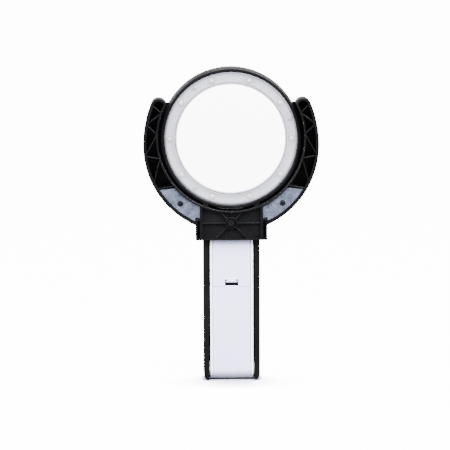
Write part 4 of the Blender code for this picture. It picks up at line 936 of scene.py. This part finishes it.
def battery_door():
    """The lower panel, which curls round the column's end, with a springy latch tab at its top."""
    outer = arc(FOLD, HALF_DEPTH, 180, DOOR_END_ANGLE, 20)
    inner = arc(FOLD, HALF_DEPTH - PANEL, DOOR_END_ANGLE, 180, 20)
    outline = [(COLUMN_FRONT, DOOR_TOP)] + outer + inner + [(COLUMN_FRONT + PANEL, DOOR_TOP)]
    door = plate("battery_door_visual", outline, -PANEL_HALF, PANEL_HALF, SIDE_PLANE, 0.25 * MM)
    tab_top = DOOR_TOP + 0.9 * MM
    tab_foot = DOOR_TOP - 2 * MM
    tab = [(-7.6 * MM, tab_foot), (7.6 * MM, tab_foot), (5.7 * MM, tab_top), (-5.7 * MM, tab_top)]
    catch = rectangle(-4.5 * MM, 4.5 * MM, DOOR_TOP - 3 * MM, DOOR_TOP - 1.2 * MM)
    catch_back = COLUMN_FRONT + PANEL + 1.6 * MM
    join(
        door,
        plate("tab", tab, COLUMN_FRONT + 0.05 * MM, COLUMN_FRONT + 1.1 * MM, edge=0.2 * MM),
        plate("catch", catch, COLUMN_FRONT + 1.2 * MM, catch_back, edge=0.15 * MM),
    )
    polish(door)
    piece(door, WHITE, "door", "white_plastic", "battery_door")


def battery_cells():
    """Each cell is a sleeve with bright ends: a nub at one and a flat disc at the other."""
    for k in (1, 2, 3):
        node = f"battery_cell_{k}"
        low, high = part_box(node)
        centre = (low + high) / 2
        radius = (high.x - low.x) / 2
        length = high.z - low.z
        upside_down = k == 2
        turn = Matrix.Rotation(math.radians(180), 4, "X") if upside_down else Matrix.Identity(4)
        start = (centre.x, centre.y, high.z if upside_down else low.z)
        top = length - 1.2 * MM
        wrap = [(radius, top), (radius, 0.2 * MM), (radius - 0.9 * MM, 0.2 * MM), (radius - 0.9 * MM, top)]
        body = turned(f"{node}_sleeve", rounded(wrap, 0.4 * MM), start, turn, ROUND_STEPS, closed=True)
        piece(body, SLEEVE, "column", "cell_sleeve", node)
        nub = arc((1.5 * MM, length - 0.4 * MM), 0.4 * MM, 90, 0, 3)
        can = [(0, length)] + nub + [
            (1.9 * MM, top - 0.3 * MM),
            (radius - MM, top - 0.35 * MM),
            (radius - MM, 0.1 * MM),
            (radius - 1.4 * MM, 0),
            (0, 0),
        ]
        ends = turned(f"{node}_can", can, start, turn, ROUND_STEPS)
        piece(ends, NICKEL, "column", "nickel", node)


# ---- crescent base

CRESCENT_RADIUS = 78.2 * MM
CRESCENT_Z = 212.3 * MM
FLARE_RADIUS = 98.0 * MM
FLARE_X = CRESCENT_RADIUS - FLARE_RADIUS
MOUTH_RADIUS = 65.2 * MM
MOUTH_Z = 218.6 * MM
TIP = (64.2 * MM, 247.2 * MM)
TIP_RADIUS = 7.1 * MM
TIP_WALL = 2.3 * MM
OUTER_WALL = 2.7 * MM
INNER_WALL = 1.5 * MM
ARM_START = 26.0 * MM
BLOCK_HALF = 27.6 * MM
BLOCK_BOTTOM = BASE_LOW.z
UNDERSIDE = BASE_LOW.y
ARM_BACK = BASE_HIGH.y
ARM_FLOOR_FRONT = ARM_BACK - 2.0 * MM
BLOCK_FLOOR_FRONT = UNDERSIDE + 3.0 * MM
BLOCK_FLOOR_BACK = BLOCK_FLOOR_FRONT + 1.8 * MM
EAR_HALF = 31.9 * MM
EAR_INNER = 25.7 * MM
EAR_TOP = 147.2 * MM
EAR_BACK = 3.6 * MM
FLARE_END = 23.2  # the angles at which an arm's curves end, in degrees
MOUTH_END = 28.2
LEDGE_END = 30.2
POCKET_FLARE_END = 21.6
POCKET_MOUTH_END = 25.6
RIB_ANGLES = (28, 20, 14, 3, -7, -16, -26)
LAST_RIB = (-30.4, -40.0)
RIB_FRONT = UNDERSIDE + 0.8 * MM
ARM_RIB_BACK = ARM_FLOOR_FRONT + 0.5 * MM
BLOCK_RIB_BACK = BLOCK_FLOOR_FRONT + 0.5 * MM
BOSS_Z = BASE_PIVOT[1]
BOSS = (0, 0, BOSS_Z)


def arm_outline():
    """One arm of the crescent, with a flare above the lens axis and a round tip."""
    lower = arc((0, CRESCENT_Z), CRESCENT_RADIUS, angle_at(CRESCENT_RADIUS, ARM_START), 0, 40)
    flare = arc((FLARE_X, CRESCENT_Z), FLARE_RADIUS, 0, FLARE_END, 16)[1:]
    tip = arc(TIP, TIP_RADIUS, 42, 152, 14)
    mouth = arc((0, MOUTH_Z), MOUTH_RADIUS, MOUTH_END, angle_at(MOUTH_RADIUS, ARM_START), 50)
    return lower + flare + tip + mouth


def pocket_outline():
    """The hollow in an arm, open to the underside."""
    outer = CRESCENT_RADIUS - OUTER_WALL
    inner = MOUTH_RADIUS + INNER_WALL
    lower = arc((0, CRESCENT_Z), outer, angle_at(outer, BLOCK_HALF), 0, 40)
    flare = arc((FLARE_X, CRESCENT_Z), FLARE_RADIUS - OUTER_WALL, 0, POCKET_FLARE_END, 16)[1:]
    tip = arc(TIP, TIP_RADIUS - TIP_WALL, 20, 160, 14)
    mouth = arc((0, MOUTH_Z), inner, POCKET_MOUTH_END, angle_at(inner, BLOCK_HALF), 50)
    return lower + flare + tip + mouth


def ledge_outline():
    """The arm's floor carried inwards past its wall, close round the lens rim."""
    ledge_radius = RIM_NECK + 0.2 * MM
    wall_middle = MOUTH_RADIUS + INNER_WALL / 2
    inner = arc((0, RING_Z), ledge_radius, angle_at(ledge_radius, ARM_START), LEDGE_END, 60)
    outer = arc((0, MOUTH_Z), wall_middle, MOUTH_END, angle_at(wall_middle, ARM_START), 50)
    return inner + outer


def outer_wall_point(degrees):
    """A point in the middle of an arm's outer wall, which flares above the crescent's centre."""
    middle_wall = OUTER_WALL / 2
    height = (CRESCENT_RADIUS - middle_wall) * math.sin(math.radians(degrees))
    if height < 0:
        return math.sqrt((CRESCENT_RADIUS - middle_wall) ** 2 - height**2), CRESCENT_Z + height
    return FLARE_X + math.sqrt((FLARE_RADIUS - middle_wall) ** 2 - height**2), CRESCENT_Z + height


def inner_wall_point(degrees):
    """A point in the middle of an arm's inner wall."""
    angle = math.radians(degrees)
    radius = MOUTH_RADIUS + INNER_WALL / 2
    return radius * math.cos(angle), MOUTH_Z + radius * math.sin(angle)


def block_outline(inset=0.0):
    """The block over the handle, hollowed round the lens head at its top."""
    half = BLOCK_HALF - inset
    radius = MOUTH_RADIUS + inset
    start = angle_at(radius, half)
    top = arc((0, MOUTH_Z), radius, start, -180 - start, 40)
    low = BLOCK_BOTTOM + inset
    return [(-half, low), (half, low)] + top


def ear_outline(side):
    """The block at an arm's foot, beside the handle."""
    corner = 2.5 * MM
    turn = arc((EAR_HALF - corner, EAR_TOP - corner), corner, 0, 90, 8)
    outline = [(EAR_INNER, BLOCK_BOTTOM), (EAR_HALF, BLOCK_BOTTOM)] + turn + [(EAR_INNER, EAR_TOP)]
    return mirrored(outline, side)


def base_shell():
    """The crescent: a block, two hollow ribbed arms, their ledges and ears, and the block's ribs and boss."""
    shell = plate("base_shell_visual", block_outline(), UNDERSIDE, BLOCK_FLOOR_BACK, edge=0.3 * MM)
    recess = rounded(block_outline(1.6 * MM), 0.3 * MM, 2)
    cut(shell, plate("block_recess", recess, UNDERSIDE - MM, BLOCK_FLOOR_FRONT))
    parts = []
    hollows = []
    zigzag = [outer_wall_point(a) if k % 2 == 0 else inner_wall_point(a) for k, a in enumerate(RIB_ANGLES)]
    ribs = list(zip(zigzag, zigzag[1:])) + [(outer_wall_point(LAST_RIB[0]), inner_wall_point(LAST_RIB[1]))]
    for name, side in SIDES:
        arm = plate(f"arm_{name}", mirrored(arm_outline(), side), UNDERSIDE, ARM_BACK, edge=0.5 * MM)
        cut(arm, plate(f"pocket_{name}", mirrored(pocket_outline(), side), UNDERSIDE - MM, ARM_FLOOR_FRONT))
        strips = []
        for k, ends in enumerate(ribs):
            start, end = mirrored(ends, side)
            strips.append(wall(f"rib_{name}_{k}", start, end, MM, RIB_FRONT, ARM_RIB_BACK, 0.25 * MM))
        ledge = mirrored(ledge_outline(), side)
        ledge_back = ARM_BACK - 0.2 * MM
        strips.append(plate(f"ledge_{name}", ledge, ARM_FLOOR_FRONT, ledge_back, edge=0.2 * MM))
        join(arm, *strips)
        parts.append(arm)
        ear_front = UNDERSIDE + 0.3 * MM
        parts.append(plate(f"ear_{name}", ear_outline(side), ear_front, EAR_BACK, edge=0.4 * MM))
        hollow = rounded(mirrored(rectangle(28.3 * MM, 30.4 * MM, 129.2 * MM, 144.8 * MM), side), 0.5 * MM)
        hollows.append(plate(f"hollow_{name}", hollow, UNDERSIDE - MM, EAR_BACK - 2 * MM))
    join(shell, *parts)
    cut(shell, *hollows)
    boss_front = UNDERSIDE + 0.5 * MM
    details = [rod("boss", 5.2 * MM, boss_front, BLOCK_RIB_BACK, BOSS, ALONG_Y, ROUND_STEPS, 0.25 * MM)]
    spokes = ((26.5 * MM, 0), (9.9 * MM, 9.8 * MM), (14.0 * MM, -13.6 * MM))
    for name, side in SIDES:
        for k, (across, up) in enumerate(spokes):
            near = 4.7 * MM / math.hypot(across, up)
            start = (side * across * near, BOSS_Z + up * near)
            end = (side * across, BOSS_Z + up)
            front = UNDERSIDE + 0.7 * MM
            rib = f"block_rib_{name}_{k}"
            details.append(wall(rib, start, end, 0.9 * MM, front, BLOCK_RIB_BACK, 0.25 * MM))
    join(shell, *details)
    holes = [
        rod("boss_hole", 4.2 * MM, UNDERSIDE - MM, BLOCK_FLOOR_FRONT + 0.6 * MM, BOSS, ALONG_Y, ROUND_STEPS),
        rod("screw_hole", 1.8 * MM, UNDERSIDE, BLOCK_FLOOR_BACK + MM, BOSS, ALONG_Y),
    ]
    for name, _ in SIDES:
        place = middle(f"weight_screw_{name}")
        holes.append(rod(f"floor_hole_{name}", SCREW_WAY, 2 * MM, 8 * MM, (place.x, 0, place.z), ALONG_Y))
    cut(shell, *holes)
    polish(shell)
    piece(shell, BLACK, "base", "black_plastic", "base_shell")


def counterweights():
    """Two steel blocks in the lower ends of the arms' pockets, notched round the ears."""
    inner = MOUTH_RADIUS + INNER_WALL + GAP
    outer = CRESCENT_RADIUS - OUTER_WALL - GAP
    low_x = WEIGHT_LOW.x
    ear_x = EAR_HALF + GAP
    front = WEIGHT_LOW.y
    mouth = arc((0, MOUTH_Z), inner, -41.6, angle_at(inner, low_x), 20)
    notch = [(low_x, EAR_TOP + GAP), (ear_x, EAR_TOP + GAP)]
    back = arc((0, CRESCENT_Z), outer, angle_at(outer, ear_x), -31.8, 20)
    for name, side in SIDES:
        outline = mirrored(mouth + notch + back, side)
        weight = plate(f"counterweight_{name}_visual", outline, front, WEIGHT_HIGH.y, edge=0.35 * MM)
        place = middle(f"weight_screw_{name}")
        cut(
            weight,
            rod("sink", SCREW_SINK, front - MM, front + 2 * MM, (place.x, 0, place.z), ALONG_Y, 48),
            rod("way", SCREW_WAY, front, WEIGHT_HIGH.y + MM, (place.x, 0, place.z), ALONG_Y),
        )
        polish(weight)
        piece(weight, ZINC, "base", "zinc_steel", f"counterweight_{name}")


def hinge_bracket():
    """The steel plate under the block, with two lugs for the base's pin."""
    front = BLOCK_FLOOR_BACK + GAP
    back = front + 1.5 * MM
    outline = rounded(rectangle(-18.5 * MM, 18.5 * MM, 133.5 * MM, 151.0 * MM), 0.8 * MM)
    bracket = plate("hinge_bracket_visual", outline, front, back, edge=0.15 * MM)
    reach = 6 * MM
    lug = arc(BASE_PIVOT, reach, -90, 90, 24)
    lug += [(front + 0.5 * MM, BOSS_Z + reach), (front + 0.5 * MM, BOSS_Z - reach)]
    lugs = [
        plate(f"lug_{name}", lug, *sorted((side * 12.5 * MM, side * 18.5 * MM)), SIDE_PLANE, 0.3 * MM)
        for name, side in SIDES
    ]
    join(bracket, *lugs)
    cut(
        bracket,
        rod("pin_way", BASE_PIN_WAY, -FAR, FAR, (0, *BASE_PIVOT), ALONG_X),
        rod("screw_way", SCREW_WAY, -14 * MM, -6 * MM, BOSS, ALONG_Y),
    )
    polish(bracket)
    piece(bracket, DARK_STEEL, "base", "dark_steel", "hinge_bracket")


# ---- stage, light and camera

AIM = (-0.0055, 0, 0.1394)
FRAME_HEIGHT = 0.4035
DISTANCE = 2.5
AZIMUTH = math.radians(-1.3)
ELEVATION = math.radians(6.9)
ROLL = math.radians(-0.25)
BACKDROP = 14.0
FILL = 0.8
SOFTBOXES = (
    ("key_upper_right", (0.75, -0.85, 1.05), (0.7, 0.7), 95),
    ("fill_upper_left", (-0.95, -0.75, 0.75), (0.8, 0.8), 66),
    ("top", (0.1, -0.45, 1.35), (1.0, 0.8), 110),
    ("back_left", (-0.8, 0.9, 0.7), (0.8, 0.8), 16),
    ("back_right", (0.8, 0.9, 0.8), (0.8, 0.8), 16),
)


def combined(tree, operation, first, second):
    """A Math node on two inputs, each a socket or a number."""
    node = tree.nodes.new("ShaderNodeMath")
    node.operation = operation
    for value, target in zip((first, second), node.inputs):
        if isinstance(value, float):
            target.default_value = value
        else:
            tree.links.new(value, target)
    return node.outputs[0]


def seen_directly(tree):
    """1 where the camera sees a surface itself or through the lens, and 0 in reflections and bounces."""
    path = tree.nodes.new("ShaderNodeLightPath")
    return combined(tree, "MAXIMUM", path.outputs["Is Camera Ray"], path.outputs["Is Transmission Ray"])


def openness(tree, distance, power, direction):
    """How much of the air is clear within a distance, to one side of a point on the floor."""
    node = tree.nodes.new("ShaderNodeAmbientOcclusion")
    node.samples = 12
    node.inputs["Distance"].default_value = distance
    towards = tree.nodes.new("ShaderNodeCombineXYZ")
    for socket, value in zip(towards.inputs, Vector(direction).normalized()):
        socket.default_value = value
    tree.links.new(towards.outputs["Vector"], node.inputs["Normal"])
    return combined(tree, "POWER", node.outputs["AO"], power)


def stage_material():
    """A studio floor as bright as the air behind it, with a painted contact shadow and a painted reflection
    of the foot: its glow is dimmed and tinted close to what stands on it.
    """
    material = bpy.data.materials.new("studio_white")
    material.use_nodes = True
    tree = material.node_tree
    shader = tree.nodes["Principled BSDF"]
    shader.inputs["Base Color"].default_value = (0.10, 0.10, 0.105, 1)
    shader.inputs["Roughness"].default_value = 0.6
    shader.inputs["Specular IOR Level"].default_value = 0.0
    # Painted shadow and reflection: the floor's glow is dimmed by occlusion right at the foot, and by
    # occlusion towards +Y in front of it, which stands in for the foot's reflection; the dimmed glow is
    # tinted lavender.
    contact = openness(tree, 0.004, 3.0, (0, 0, 1))
    painted_foot_reflection = openness(tree, 0.045, 1.5, (0, 1, 0.25))
    shade = combined(tree, "MULTIPLY", contact, painted_foot_reflection)
    painted_shade_tint = tree.nodes.new("ShaderNodeValToRGB")
    painted_shade_tint.color_ramp.elements[0].color = (0.55, 0.55, 0.85, 1)
    painted_shade_tint.color_ramp.elements[1].color = (1, 1, 1, 1)
    tree.links.new(shade, painted_shade_tint.inputs["Fac"])
    glow = tree.nodes.new("ShaderNodeEmission")
    tree.links.new(painted_shade_tint.outputs["Color"], glow.inputs["Color"])
    seen = combined(tree, "MULTIPLY", seen_directly(tree), shade)
    strength = combined(tree, "MULTIPLY", seen, BACKDROP)
    tree.links.new(strength, glow.inputs["Strength"])
    both = tree.nodes.new("ShaderNodeAddShader")
    tree.links.new(shader.outputs[0], both.inputs[0])
    tree.links.new(glow.outputs[0], both.inputs[1])
    tree.links.new(both.outputs[0], tree.nodes["Material Output"].inputs["Surface"])
    return material


def stage():
    """The floor, and a backdrop that is bright where it is seen and dim as a light."""
    bpy.ops.mesh.primitive_plane_add(size=40, location=(0, 0, 0))
    floor = bpy.context.object
    floor.name = "studio_floor"
    floor.data.materials.append(stage_material())
    world = bpy.data.worlds.new("studio")
    bpy.context.scene.world = world
    world.use_nodes = True
    tree = world.node_tree
    background = tree.nodes["Background"]
    background.inputs["Color"].default_value = (1, 1, 1, 1)
    strength = tree.nodes.new("ShaderNodeMapRange")
    strength.inputs["To Min"].default_value = FILL
    strength.inputs["To Max"].default_value = BACKDROP
    tree.links.new(seen_directly(tree), strength.inputs["Value"])
    tree.links.new(strength.outputs["Result"], background.inputs["Strength"])


def lights():
    """Soft lights aimed at the middle of the object, unseen through the lens."""
    target = Vector((0, 0, 0.16))
    for name, location, size, power in SOFTBOXES:
        light = bpy.data.lights.new(name, "AREA")
        light.shape = "RECTANGLE"
        light.size, light.size_y = size
        light.energy = power
        obj = bpy.data.objects.new(name, light)
        bpy.context.scene.collection.objects.link(obj)
        obj.location = location
        obj.rotation_euler = (target - Vector(location)).to_track_quat("-Z", "Y").to_euler()
        obj.visible_camera = False
        obj.visible_transmission = False


def camera():
    """A long lens from a little above and to the left, which covers FRAME_HEIGHT at the object."""
    data = bpy.data.cameras.new("camera")
    obj = bpy.data.objects.new("camera", data)
    bpy.context.scene.collection.objects.link(obj)
    bpy.context.scene.camera = obj
    data.sensor_width = 36
    data.lens = data.sensor_width * DISTANCE / FRAME_HEIGHT
    level = math.cos(ELEVATION)
    back = Vector((math.sin(AZIMUTH) * level, -math.cos(AZIMUTH) * level, math.sin(ELEVATION)))
    obj.location = Vector(AIM) + back * DISTANCE
    obj.rotation_euler = (back.to_track_quat("Z", "Y") @ Quaternion((0, 0, 1), ROLL)).to_euler()
    data.clip_start = 0.05
    data.clip_end = 60


# ---- assembly

camera()
lights()
stage()

head_frame()
head_cover()
lens()
led_cover()
leds()
hardware()
switch_knob()
column_body()
column_front_cover()
# A dark plate behind the latch slot stands in for the slot's shade.
slot_shade_plate()
battery_door()
battery_cells()
base_shell()
counterweights()
hinge_bracket()

repaint(BOARD, "led_board")
repaint(SWITCH, "switch_body")
repaint(RED_LEAD, "lead_positive")
repaint(BLACK_LEAD, "lead_negative")
repaint(NICKEL, "contact_plate_lower", "contact_plate_upper")
repaint(NICKEL, "contact_spring_1", "contact_spring_2", "contact_spring_3")
